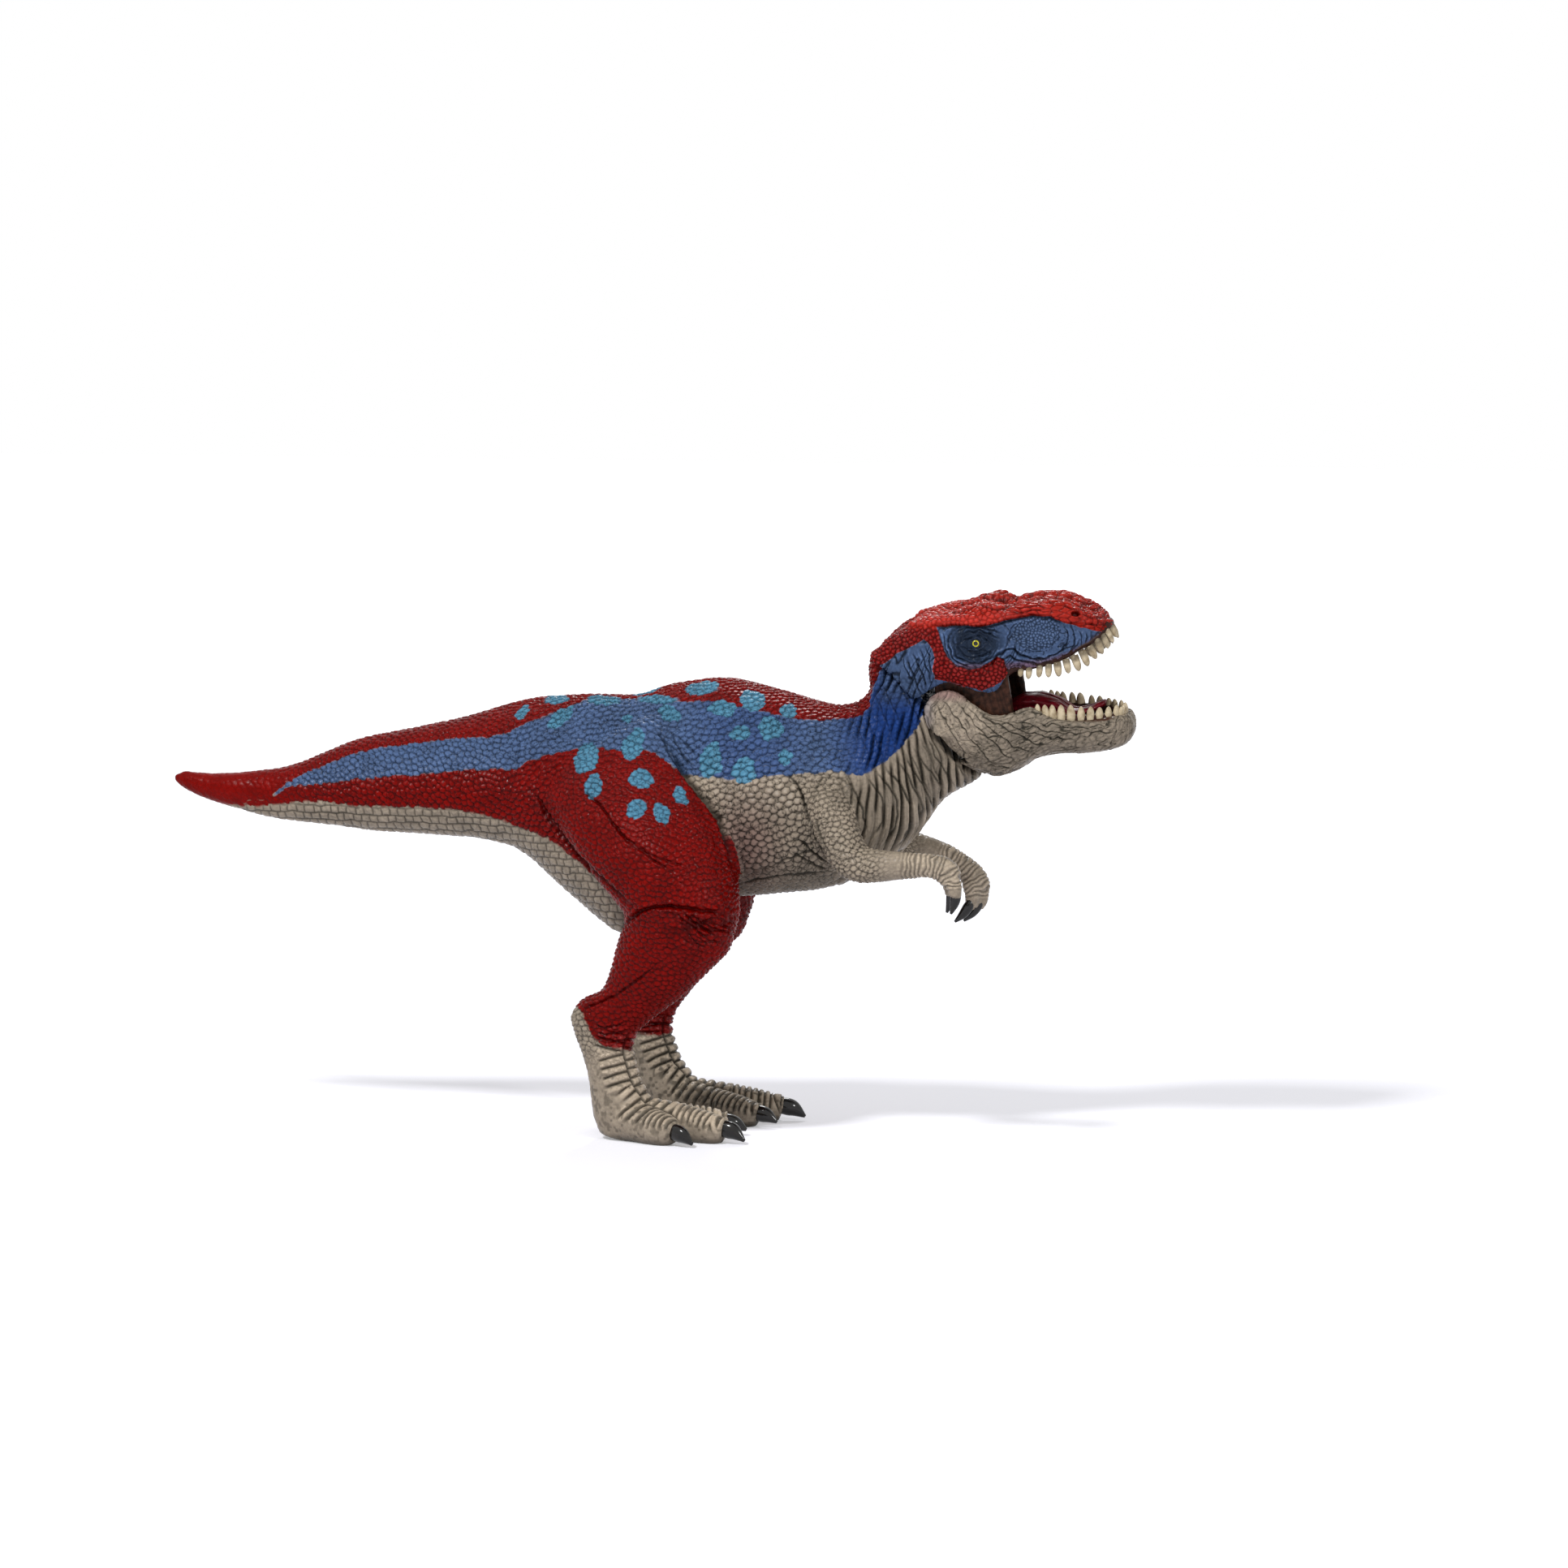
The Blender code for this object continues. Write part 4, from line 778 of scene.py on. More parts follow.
# Toes from the ankle to the claw tip: forward, outward, up and radius in mm; the claw begins at the third last row
TOE_LINES = (
    (
        (0, 2.2, 5.3, 5.5), (8.8, 7.5, 4.4, 4.7), (14.1, 10.6, 3.8, 4.0), (16.3, 11.9, 4.0, 2.7),
        (19.8, 13.6, 3.3, 1.85), (23.1, 15.2, 1.1, 0.35),
    ),
    (
        (3.5, 0, 5.7, 5.9), (14.1, 0.9, 4.9, 5.2), (22.0, 2.4, 4.2, 4.4), (26.8, 3.7, 3.6, 3.8),
        (28.6, 4.2, 4.3, 2.8), (32.1, 4.8, 3.6, 1.94), (35.6, 5.7, 1.2, 0.35),
    ),
    (
        (1.8, -2.2, 5.5, 5.7), (11.9, -5.7, 4.6, 4.8), (18.9, -8.6, 4.0, 4.1), (23.8, -10.1, 3.5, 3.6),
        (25.5, -10.6, 4.1, 2.55), (28.6, -11.2, 3.5, 1.76), (31.7, -11.9, 1.8, 0.35),
    ),
)
# Claws of a hand in the same way, from the finger's end: the second finger is set back and inward
RIGHT_FINGER = ((1.1, 1.33, -2.6, 0.9), (1.2, 1.33, -4.0, 1.5), (0.8, 1.33, -6.4, 1.25), (-0.2, 1.33, -9.2, 0.35))
LEFT_FINGER = ((-0.4, 1.33, -2.6, 0.9), (-1.0, 1.33, -4.3, 1.5), (-2.6, 1.33, -6.6, 1.25), (-4.9, 1.33, -8.8, 0.35))
RIGHT_HAND, LEFT_HAND = (93.6, 20.87, 75.0), (92.1, 20.87, 67.8)
SECOND_FINGER = (-1.9, 3.2)


def claw_rows():
    """Each claw as rows of x, y, z and radius in mm from inside the toe or finger to the tip."""
    table = {}
    for name, side, step in (("right_foot_claws", -1, 0.0), ("left_foot_claws", 1, LEFT_STEP)):
        table[name] = []
        for line in TOE_LINES:
            line = np.array(line)[-4:]
            place = (line[:, 0] + step, side * (FOOT_Y + line[:, 1]), line[:, 2])
            row = np.stack((*place, line[:, 3] * (0.5, 1.0, 1.22, 1.3)), axis=1)
            row[0, :3] = row[1, :3] + 0.4 * (row[0, :3] - row[1, :3])
            row[1, 3] = min(row[1, 3], 2.3)
            table[name].append(row)
    for name, side, hand, finger in (
        ("right_hand_claws", -1, RIGHT_HAND, RIGHT_FINGER), ("left_hand_claws", 1, LEFT_HAND, LEFT_FINGER),
    ):
        table[name] = []
        for back, inward in ((0.0, 0.0), SECOND_FINGER):
            row = np.array(finger) + (hand[0] + back, hand[1] - inward, hand[2], 0.0)
            table[name].append(row * (1, side, 1, 1))
    return table


CLAWS = claw_rows()
BODY_PARTS = ("trunk", "tail", "right_leg", "left_leg", "right_arm", "left_arm")


def reach_of_parts(points):
    """For each point, its distance in mm to each body part's CAD surface, 4 where that is farther off."""
    reach = np.full((len(points), len(BODY_PARTS)), 4.0)
    for k, name in enumerate(BODY_PARTS):
        surface, faces = node_surface(name)
        tree = BVHTree.FromPolygons(surface.tolist(), faces.tolist())
        close = ((points > surface.min(axis=0) - 2) & (points < surface.max(axis=0) + 2)).all(axis=1)
        for i in np.flatnonzero(close):
            found = tree.find_nearest(points[i], 4.0)
            if found[0] is not None:
                reach[i, k] = found[3]
    return reach


def without_step(points, left):
    """The left leg's points moved back to where the right leg's are."""
    moved = points.copy()
    moved[:, 0] -= left * at(LEG_STEP, points[:, 2])
    return moved


def foot_middles(points):
    """Middle and half width of one foot by height: tables for np.interp."""
    heights, rows = (14.0, 18.0, 22.0, 26.0, 31.0, 36.0), []
    for z in heights:
        band = points[abs(points[:, 2] - z) < 1.5][:, :2]
        low, high = band.min(axis=0), band.max(axis=0)
        rows.append(np.append((low + high) / 2, (high - low) / 2))
    rows = np.array(rows).T
    return [(heights, row) for row in rows]


# Plates of the feet: how far apart they are in mm on a toe, and how much farther on the shank
TOE_PITCH, SHANK_EXTRA = 1.75, 0.70
# Where the three rows of plates come down the shank: degrees from straight forward, and heights in mm
TOE_TURNS, SHANK_HEIGHTS = (73, 0, -73), np.array((40.0, 32, 25, 19, 14.5))


def foot_plates(points, normals, feet, left, sway, relief, lines, tops):
    """Raised plates in a row along each toe and on up the shank, with wash and painted shade between them and dry
    brushing with painted highlight on top.
    """
    shank_pitch = 2.45
    for side, own_side in ((-1, 1 - left), (1, left)):
        here = np.flatnonzero(feet * own_side > 0.01)
        spot = points[here]
        middle_x, middle_y, half_x, half_y = foot_middles(spot)
        step = LEFT_STEP if side > 0 else 0.0
        nearest, rows = np.full((len(here), 3), 30.0), np.zeros((len(here), 3))
        for k, (turn, line) in enumerate(zip(TOE_TURNS, TOE_LINES)):
            line, a, z = np.array(line), math.radians(turn), SHANK_HEIGHTS
            toe = np.stack((line[:, 0] + step, side * (FOOT_Y + line[:, 1]), line[:, 2] + 1.5), axis=1)[1:]
            shank = np.stack((
                np.interp(z, *middle_x) + np.interp(z, *half_x) * math.cos(a),
                np.interp(z, *middle_y) + side * np.interp(z, *half_y) * math.sin(a), z,
            ), axis=1)
            path = np.concatenate((shank, toe))
            lengths = np.linalg.norm(np.diff(path, axis=0), axis=1)
            nearest[:, k], place = along(spot, path)
            turn_at, total = lengths[: len(shank)].sum(), lengths.sum()
            counts = (0, turn_at / shank_pitch, turn_at / shank_pitch + (total - turn_at) / TOE_PITCH)
            rows[:, k] = np.interp(place * total, (0, turn_at, total), counts) + 0.5 * (k == 1)
        own = nearest.argmin(axis=1)
        row = rows[np.arange(len(here)), own] + 0.06 * sway[here, 0]
        ranked = np.sort(nearest, axis=1)
        shank = ramp(spot[:, 2] + 0.35 * (spot[:, 0] - step), 11, 15)
        pitch = TOE_PITCH + SHANK_EXTRA * shank
        in_row = row % 1.0
        cut = np.minimum(np.minimum(in_row, 1 - in_row) * pitch, 0.5 * (ranked[:, 1] - ranked[:, 0]))
        angle = np.arctan2(
            side * (spot[:, 1] - np.interp(spot[:, 2], *middle_y)), spot[:, 0] - np.interp(spot[:, 2], *middle_x)
        )
        upper = ramp(normals[here, 2], 0.0, 0.45)
        # the heel and the sole have none
        weight = ramp(feet[here], 0.02, 0.25) * (shank * (1 - ramp(abs(angle), 1.75, 2.0)) + (1 - shank) * upper)
        relief.height[here] += weight * 1.0 * (dome(cut / (0.42 * pitch)) - 0.6 + 0.30 * (in_row - 0.5))
        # wash and painted shade in the cuts, painted shadow below each plate, dry brushing and painted highlight on top
        lines[here] = np.maximum(lines[here], weight * np.maximum(bell(cut, 0.42), 0.75 * ramp(in_row, 0.72, 0.95)))
        tops[here] = np.maximum(tops[here], weight * ramp(cut, 0.25, 0.60))


def wrist_rings(points, arm, relief, lines, tops):
    """Rings 1.25 mm wide round the last third of each arm."""
    for side in (-1, 1):
        here = np.flatnonzero((arm > 0.3) & (np.sign(points[:, 1]) == side))
        path = SHOULDERS[side] + np.array(ARM_LINES[side]) * (1, side, 1)
        length = np.linalg.norm(np.diff(path, axis=0), axis=1).sum()
        _, place = along(points[here], path)
        weight = ramp(place, 0.60, 0.70) * (1 - ramp(place, 0.97, 1.0))
        ring = bricks(here * 0.0, place * length + 0.65 * noise(points[here], 2.0, 8), 90.0, 1.25, 2)
        relief.height[here] += weight * 0.40 * (dome(ring / 0.5) - 0.6)
        # wash and painted shade between the rings, dry brushing and painted highlight on them
        lines[here] = np.maximum(lines[here], 0.75 * weight * bell(ring, 0.20))
        tops[here] = np.maximum(tops[here], weight * ramp(ring, 0.25, 0.5))


# Middle of the rings of folds that run from the throat round the shoulder, in pixels
SHOULDER_MIDDLE = (985, 985)
# Spacing of the throat's rings and of the pleats on the side of the neck, in mm, and what their distances are scaled by
RING_PITCH, PLEAT_PITCH, FOLD_SCALE = 2.3, 2.1, 2.2


def neck_folds(near, u, v, throat, neck_side, sway, relief):
    """Rings round the shoulder on the throat, slanted pleats on the blue sides, and finer lines between the rings."""
    drift = noise(near, 7.0, 21)
    rings = np.hypot(u - SHOULDER_MIDDLE[0], 0.85 * (v - SHOULDER_MIDDLE[1])) / PX_PER_MM / RING_PITCH + 0.45 * drift
    pleats = (0.95 * (u - 1000) + 0.28 * (v - 950)) / PX_PER_MM / PLEAT_PITCH + 0.5 * drift
    broken = 0.35 + 0.65 * ramp(noise(near * (1.0, 1.0, 0.6), 4.0, 22), -0.35, 0.15)
    for phase, where in ((rings, throat), (pleats, neck_side)):
        off_line = abs(phase % 1.0 - 0.5) * FOLD_SCALE
        relief.groove(off_line, 0.32, 0.70, where * broken)
        relief.height += 0.20 * where * broken * np.cos(math.tau * (off_line / FOLD_SCALE - 0.5))
    finer = abs((1.9 * rings + 0.4 * sway[:, 0]) % 1.0 - 0.5) * 1.2
    relief.groove(finer, 0.12, 0.20, throat * (1 - broken))


def sink_claw_roots(skin, points):
    """Draws the skin in to the middle of each claw, so that it ends in a rim round the claw's root."""
    for rows in CLAWS.values():
        for row in rows:
            close = np.flatnonzero(np.linalg.norm(points - row[1, :3], axis=1) < 9.0)
            distance, place = along(points[close], row[1:, :3])
            own = distance < 1.6 * at(np.column_stack((np.linspace(0, 1, len(row) - 1), row[1:, 3])), place) + 0.4
            close, place = close[own], place[own]
            lengths = np.linalg.norm(np.diff(row[1:, :3], axis=0), axis=1)
            stops = np.append(0, np.cumsum(lengths)) / lengths.sum()
            axis_point = np.stack([np.interp(place, stops, row[1:, k]) for k in range(3)], axis=1)
            pull = 0.70 * ramp(place, 0.04, 0.16)
            skin.points[close] += pull[:, None] * (axis_point - skin.points[close])


def build_body():
    """Trunk, tail, legs and arms as one skin, the part that each of its quads belongs to, and its paint masks."""
    skin = remeshed([grown(name, 0.22) for name in BODY_PARTS], BODY_VOXEL * COARSE)
    part = skin.spread(reach_of_parts(skin.points), 3).argmin(axis=1)
    leg, arm, left = [np.isin(part, numbers).astype(float) for numbers in ((2, 3), (4, 5), (3,))]
    # toes, fingers and ankles are ironed less than the rest
    height = skin.points[:, 2]
    limp = np.where(leg > 0, 0.22 + 0.60 * ramp(height, 9, 45), np.ones(len(part)))
    limp = np.where(arm > 0, 0.22 + 0.5 * ramp(height, 72, 88), limp)
    skin.relax(int(84 / COARSE**2), skin.spread(limp, 6))
    quad_part = part[skin.quads[:, 0]]
    skin, leg, arm, left = skin.finer(leg, arm, left)
    points, normals = skin.points, skin.normals()
    near = near_side(without_step(points, left))
    sway = wander(near, 2.2, (1, 2))
    places = photo(near)
    u, v = places.T

    # regions
    tail = 1 - ramp(u, *TAIL_ROOT)
    dorsal = edge(at(RED_ABOVE, u) - v, 6.0)
    under = edge(v - at(GREY_BELOW, u), 6.0) * (1 - leg) * (1 - arm) * (1 - ramp(u, *CHEST))
    flesh = leg * (1 - edge(at(BLUE_ABOVE, u) - v, 6.0))
    neck = ramp(u, *NECK) * (1 - arm)
    belly = ramp(v, *BELLY_DOWN) * (1 - leg) * (1 - arm) * ramp(u, *BELLY_ALONG)
    feet = leg * (1 - ramp(points[:, 2], *FOOT))
    throat = neck * edge(v - at(BLUE_ABOVE, u), 8.0)
    wrist = arm * ramp(points[:, 0], *WRIST)

    # scales of 1.15 to 1.74 mm, as measured on each region in the photograph
    size = laid_over(1.74, (
        (1 - ramp(u, *HIP), 1.60), (tail, 1.50), (1 - ramp(u, *TAIL_TIP), 1.30), (dorsal, 1.50), (neck, 1.35),
        (flesh, 1.50), (leg * (1 - ramp(points[:, 2], *SHANK)), 1.35), (arm, 1.40),
        (arm * ramp(points[:, 0], *HAND), 1.15),
    ))
    # their free edges point down, a little forward on the flank and backward on legs and tail
    lie = np.stack((
        0.30 - 0.55 * leg - 1.1 * tail * (1 - leg),
        0.5 * np.sign(points[:, 1]) * np.clip(normals[:, 2], 0, 1),
        -0.9 + 0 * u,
    ), axis=1)
    lie = skin.spread(lie, 4)
    lie -= (lie * normals).sum(axis=1)[:, None] * normals
    lie /= np.maximum(np.linalg.norm(lie, axis=1), 1e-6)[:, None]
    rise, under_edge, middle = shingles(points + wander(points, 3.0, (3, 4, 5)) * 0.25, size, lie, 11)
    scaly = (
        (1 - 0.5 * belly) * (1 - 0.65 * neck * (1 - dorsal)) * (1 - 0.8 * throat) * (1 - 0.9 * feet) * (1 - 0.8 * under)
        * (1 - 0.8 * wrist)
    )
    scaly *= 0.25 + 0.75 * ramp(u, *TAIL_END)
    amount = (0.16 + 0.42 * size) * scaly * (1 - 0.25 * flesh) * (1 - 0.35 * dorsal * (1 - neck))
    relief = Relief(len(points))
    relief.height += amount * (rise - 0.5)
    # painted shadow: a dark line under each scale's free edge; dry brushing and painted highlight on the raised free
    # edge
    lines = under_edge * np.clip(scaly * 1.2, 0, 1)
    tops = ramp(rise, 0.60, 0.95) * (0.25 + 0.75 * scaly)

    # blocks under the tail and the hips
    block = bricks(points[:, 0] + 0.5 * sway[:, 0], points[:, 2] + 0.4 * sway[:, 1], 2.6, 2.1, 3)
    relief.height += under * 0.28 * (dome(block / 0.9) - 0.6)
    lines = np.maximum(lines, under * bell(block, 0.26))
    foot_plates(points, normals, feet, left, sway, relief, lines, tops)
    # rough skin between the plates with wash and painted shade in its hollows, and painted shade where the foot meets
    # the floor
    rough = noise(points, 0.9, 27)
    relief.height += feet * 0.10 * rough
    lines = np.maximum(lines, feet * 0.60 * ramp(-rough, 0.0, 0.5))
    lines = np.maximum(lines, 0.75 * feet * (1 - ramp(points[:, 2], 0.7, 2.4)))
    wrist_rings(points, arm, relief, lines, tops)

    # drawn folds are weaker on the neck, which has its own; they are seen from the side, so they fade where the skin
    # faces forward
    for width, depth, line in BODY_FOLDS:
        strength = 0.6 if line[0][0] > 1000 else 1.15
        relief.crease(places + 1.3 * sway, PX_PER_MM, line, 0.60 * width, strength * depth)
    relief.wash_and_shade *= 0.25 + 0.75 * ramp(abs(normals[:, 1]), 0.10, 0.45)
    neck_folds(near, u, v, throat, neck * (1 - throat) * (1 - 0.5 * dorsal), sway, relief)
    # small folds that fan out from the knee
    knee = leg * bell(np.hypot((u - 868) / 52, (v - 1142) / 30), 1.0)
    folded = wavy_lines((u + 0.9 * v) / PX_PER_MM * 0.30, (v - 0.35 * u) / PX_PER_MM, 1.7, 25)
    relief.groove(folded * 2.0, 0.24, 0.60, knee)
    relief.height += 0.25 * noise(points, 9.0, 31) * (1 - arm)

    # dark wash and painted shade in the lines and folds; the belly and throat thinly darker, part own tone, part
    # painted shade underneath; painted shade on the flank in front of the thigh and on the far foot; the nape thinly
    # darker
    flank = edge(v - at(BLUE_ABOVE, u) - 20, 20.0) * ramp(u, 850, 920) * (1 - arm) * (1 - leg)
    nape = ramp(u, 1075, 1100) * (1 - ramp(v, 850, 885)) * (1 - arm) * (1 - dorsal)
    shade = 0.30 * belly + 0.10 * throat + 0.24 * flank
    # painted shadow of the near leg on the far foot
    shade += 0.28 * feet * left
    shade += 0.40 * nape
    wash_and_shade = np.clip(0.95 * lines + 1.15 * relief.wash_and_shade, 0, 1)
    wash_and_shade = wash_and_shade * (0.88 + 0.12 * noise(points, 5.0, 9)) + shade * (0.8 + 0.4 * noise(points, 7.0, 12))

    skin.points = points + normals * (relief.height + 0.18)[:, None]
    sink_claw_roots(skin, points)
    skin.points[:, 2] = np.maximum(skin.points[:, 2], 0.02)
    # a border of paint follows the scales it runs over
    of_scale = 0.55 * places + 0.45 * photo(near_side(without_step(middle, left))) + 0.9 * sway
    layers = body_paint(of_scale, leg, arm, sway[:, 0])
    layers["wash_and_shade"] = np.clip(wash_and_shade, 0, 1)
    # painted highlight on the neck's raised folds
    ridge = ramp(relief.height, 0.10, 0.45) * neck
    tops = np.maximum(tops, ridge) * (1 - 0.35 * np.maximum(layers["blue"], layers["red"])) * (1 - 0.5 * tail)
    layers["tops"] = tops * (0.80 + 0.20 * noise(points, 4.0, 19)) * (1 - layers["wash_and_shade"])
    return skin, np.repeat(quad_part, 4), layers


def split_body(skin, quad_part, layers):
    """One piece for each body part. They share their normals and borders, so no seam shows.

    Each is closed inside by a rim that goes 1.2 mm under the skin and a shallow cone.
    """
    rim_depth, cone = 1.2, 1.5
    normals = skin.normals()
    for k, name in enumerate(BODY_PARTS):
        quads = skin.quads[quad_part == k]
        sides = np.stack((quads, np.roll(quads, -1, axis=1)), axis=2).reshape(-1, 2)
        key = sides.min(axis=1) * 2**32 + sides.max(axis=1)
        _, index, count = np.unique(key, return_inverse=True, return_counts=True)
        rim = sides[count[index.reshape(-1)] == 1]
        used, number = np.unique(quads, return_inverse=True)
        points = skin.points[used]
        number_of = np.full(len(skin.points), -1)
        number_of[used] = np.arange(len(used))
        rim = number_of[rim]
        caps, extra = [], []
        group = rim_groups(rim)
        for g in np.unique(group):
            own = rim[group == g]
            starts, count = own[:, 0], len(points) + len(extra)
            sunk = points[starts] - rim_depth * normals[used[starts]]
            centre = sunk.mean(axis=0)
            inward = points.mean(axis=0) - centre
            extra.extend(sunk)
            extra.append(centre + cone * inward / np.linalg.norm(inward))
            below = np.full(len(points), -1)
            below[starts] = np.arange(len(starts)) + count
            middle = np.full(len(own), count + len(starts))
            a, b = own.T
            for corners in ((b, a, below[a]), (b, below[a], below[b]), (below[b], below[a], middle)):
                caps.append(np.stack(corners, axis=1))
        all_points = np.vstack([points] + extra) if extra else points
        piece_layers = {label: np.append(values[used], np.zeros(len(extra))) for label, values in layers.items()}
        piece_normals = np.vstack((normals[used], np.tile((0.0, 0.0, 1.0), (len(extra), 1))))
        tables = [number.reshape(-1, 4)] + ([np.concatenate(caps)] if extra else [])
        made = make_piece(name + "_skin", all_points, tables, SKIN, layers=piece_layers, normals=piece_normals)
        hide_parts(name)


def rim_groups(rim):
    """Numbers the closed loops that rim edges form."""
    label = {int(p): int(p) for p in rim.ravel()}

    def root(p):
        while label[p] != p:
            label[p] = label[label[p]]
            p = label[p]
        return p

    for a, b in rim:
        label[root(int(a))] = root(int(b))
    return np.array([root(int(a)) for a in rim[:, 0]])


split_body(*build_body())


# ---------------------------------------------------------------- head and jaw: paint and relief
# Outlines and folds as pixels of the photograph
MASK = (
    (1154, 772), (1173, 771), (1191, 771), (1208, 773), (1226, 768), (1244, 763), (1270, 759), (1294, 760), (1310, 768),
    (1326, 771), (1346, 777), (1358, 779), (1369, 772), (1377, 763), (1400, 740), (1400, 800), (1332, 840), (1252, 840),
    (1243, 826), (1239, 821), (1236, 812), (1229, 809), (1220, 815), (1208, 822), (1194, 825), (1179, 821), (1167, 809),
    (1158, 788),
)
TEMPLE = (
    (1138, 788), (1142, 791), (1149, 800), (1152, 812), (1149, 826), (1152, 834), (1151, 840), (1146, 860), (1132, 890),
    (1080, 880), (1080, 824), (1105, 806), (1117, 800), (1129, 794),
)
CHEEK_RIM = ((1100, 834), (1146, 836), (1173, 841), (1196, 848), (1211, 851), (1224, 846), (1238, 836), (1247, 826))
BROW_LINE = (
    (1136, 772), (1154, 771), (1173, 770), (1191, 771), (1208, 772), (1226, 768), (1244, 763), (1270, 758), (1294, 760),
    (1310, 768),
)
HEAD_FOLDS = (
    # lids and the rings of skin round the eye
    (0.30, 0.40, ((1185, 795), (1189, 789), (1196, 785), (1204, 784), (1212, 786), (1218, 791), (1223, 798))),
    (0.28, 0.35, ((1187, 798), (1194, 802), (1202, 803), (1210, 801), (1216, 797))),
    (0.35, 0.38, ((1180, 786), (1180, 798), (1187, 807), (1199, 811), (1211, 809), (1221, 803), (1227, 797))),
    (0.38, 0.38, ((1174, 783), (1174, 799), (1180, 810), (1193, 817), (1208, 816), (1220, 810), (1228, 803))),
    (0.35, 0.32, ((1168, 780), (1168, 797), (1173, 810), (1185, 819), (1199, 822))),
    (0.30, 0.30, ((1162, 778), (1163, 794), (1168, 806), (1174, 816))),
    (0.35, 0.35, ((1183, 782), (1196, 778), (1211, 778), (1224, 783), (1234, 789))),
    (0.30, 0.30, ((1178, 777), (1194, 774), (1211, 774), (1228, 777), (1240, 783))),
    # fold from the cheek under the mask to the snout
    (0.50, 0.55, ((1206, 826), (1220, 819), (1229, 808), (1239, 801), (1248, 801), (1255, 806), (1270, 812),
        (1288, 811), (1303, 806))),
    (0.40, 0.40, ((1226, 818), (1235, 812), (1244, 809), (1252, 813), (1267, 818), (1285, 818), (1302, 814))),
    (0.30, 0.25, ((1240, 822), (1256, 821), (1272, 824), (1290, 822))),
    # rings round the pebbled patch of the snout
    (0.30, 0.32, ((1309, 764), (1315, 777), (1316, 788), (1310, 800), (1298, 808), (1280, 811))),
    (0.30, 0.30, ((1316, 765), (1323, 777), (1325, 788), (1320, 801), (1308, 812))),
    (0.28, 0.26, ((1328, 774), (1333, 785), (1331, 798), (1322, 808))),
    (0.28, 0.24, ((1338, 778), (1341, 786), (1338, 797))),
    (0.28, 0.22, ((1246, 796), (1242, 786), (1246, 774), (1256, 765))),
    # neck side of the head
    (0.40, 0.40, ((1124, 801), (1130, 818), (1138, 835), (1142, 852))),
    (0.38, 0.38, ((1132, 798), (1138, 815), (1144, 829), (1147, 845))),
    (0.35, 0.35, ((1139, 795), (1145, 809), (1147, 824), (1147, 836))),
    (0.38, 0.38, ((1116, 804), (1122, 824), (1131, 844), (1137, 860))),
    (0.30, 0.30, ((1110, 806), (1117, 826), (1126, 846))),
    # red crown and snout
    (0.28, 0.25, ((1208, 744), (1226, 747), (1244, 751), (1267, 750), (1291, 747))),
    (0.25, 0.22, ((1238, 754), (1261, 755), (1285, 753), (1308, 754))),
    (0.28, 0.26, ((1306, 746), (1317, 750), (1334, 752), (1346, 760))),
    (0.28, 0.26, ((1331, 743), (1339, 753), (1344, 766))),
    (0.28, 0.26, ((1341, 748), (1349, 758), (1354, 770))),
    (0.28, 0.24, ((1334, 760), (1346, 763), (1362, 763))),
    (0.28, 0.24, ((1338, 769), (1352, 771), (1367, 769))),
    (0.25, 0.20, ((1350, 752), (1356, 758), (1362, 770))),
)
JAW_FOLDS = (
    (0.30, 0.30, ((1146, 860), (1161, 879), (1173, 903), (1185, 926), (1196, 947))),
    (0.30, 0.32, ((1158, 859), (1173, 876), (1191, 903), (1208, 926), (1226, 949))),
    (0.30, 0.32, ((1173, 860), (1191, 879), (1208, 900), (1232, 924), (1257, 943))),
    (0.30, 0.28, ((1139, 876), (1149, 900), (1161, 921), (1176, 941))),
    (0.30, 0.32, ((1185, 865), (1202, 882), (1226, 903), (1252, 921), (1281, 931))),
    (0.30, 0.32, ((1196, 874), (1220, 888), (1246, 903), (1273, 915), (1301, 919))),
    (0.30, 0.30, ((1214, 884), (1238, 891), (1264, 903), (1294, 910), (1328, 911))),
    (0.28, 0.28, ((1238, 888), (1264, 891), (1291, 901), (1320, 904), (1354, 903))),
    (0.28, 0.25, ((1270, 888), (1294, 894), (1323, 897), (1355, 895), (1382, 888))),
    (0.30, 0.28, ((1200, 950), (1226, 954), (1252, 950), (1275, 940))),
    (0.24, 0.22, ((1146, 888), (1161, 884), (1179, 876))),
    (0.24, 0.22, ((1152, 906), (1170, 900), (1191, 891), (1208, 879))),
    (0.24, 0.22, ((1164, 924), (1182, 916), (1202, 906), (1223, 891))),
    (0.24, 0.22, ((1179, 938), (1199, 932), (1223, 918), (1246, 898))),
    (0.24, 0.22, ((1199, 947), (1223, 938), (1249, 924), (1264, 906), (1273, 891))),
    (0.24, 0.22, ((1232, 950), (1255, 938), (1276, 924), (1288, 906), (1294, 894))),
    (0.24, 0.22, ((1302, 926), (1305, 915), (1310, 903), (1314, 894))),
    (0.24, 0.22, ((1326, 926), (1327, 915), (1332, 903), (1336, 893))),
    (0.24, 0.20, ((1349, 924), (1351, 912), (1355, 900), (1358, 893))),
    (0.24, 0.20, ((1370, 921), (1373, 906), (1377, 894))),
    (0.28, 0.25, ((1222, 873), (1238, 879), (1255, 877), (1270, 873))),
)
EYE = np.array((1203.0, 792.5))
# Ovals as middle, width, height and tilt: wrinkles round the eye, its hollow, the nostril, the snout's pebbled patch
EYE_WRINKLES = (EYE, 62, 50)
EYE_HOLLOW = (EYE + (0, 1), 30, 25)
NOSTRIL = (np.array((1325.0, 756.5)), 11.5, 6.5, 8)
PATCH = ((1277, 781), 62, 42, -4)
# Middle of the jaw's round ear
LOBE = (1172, 888)
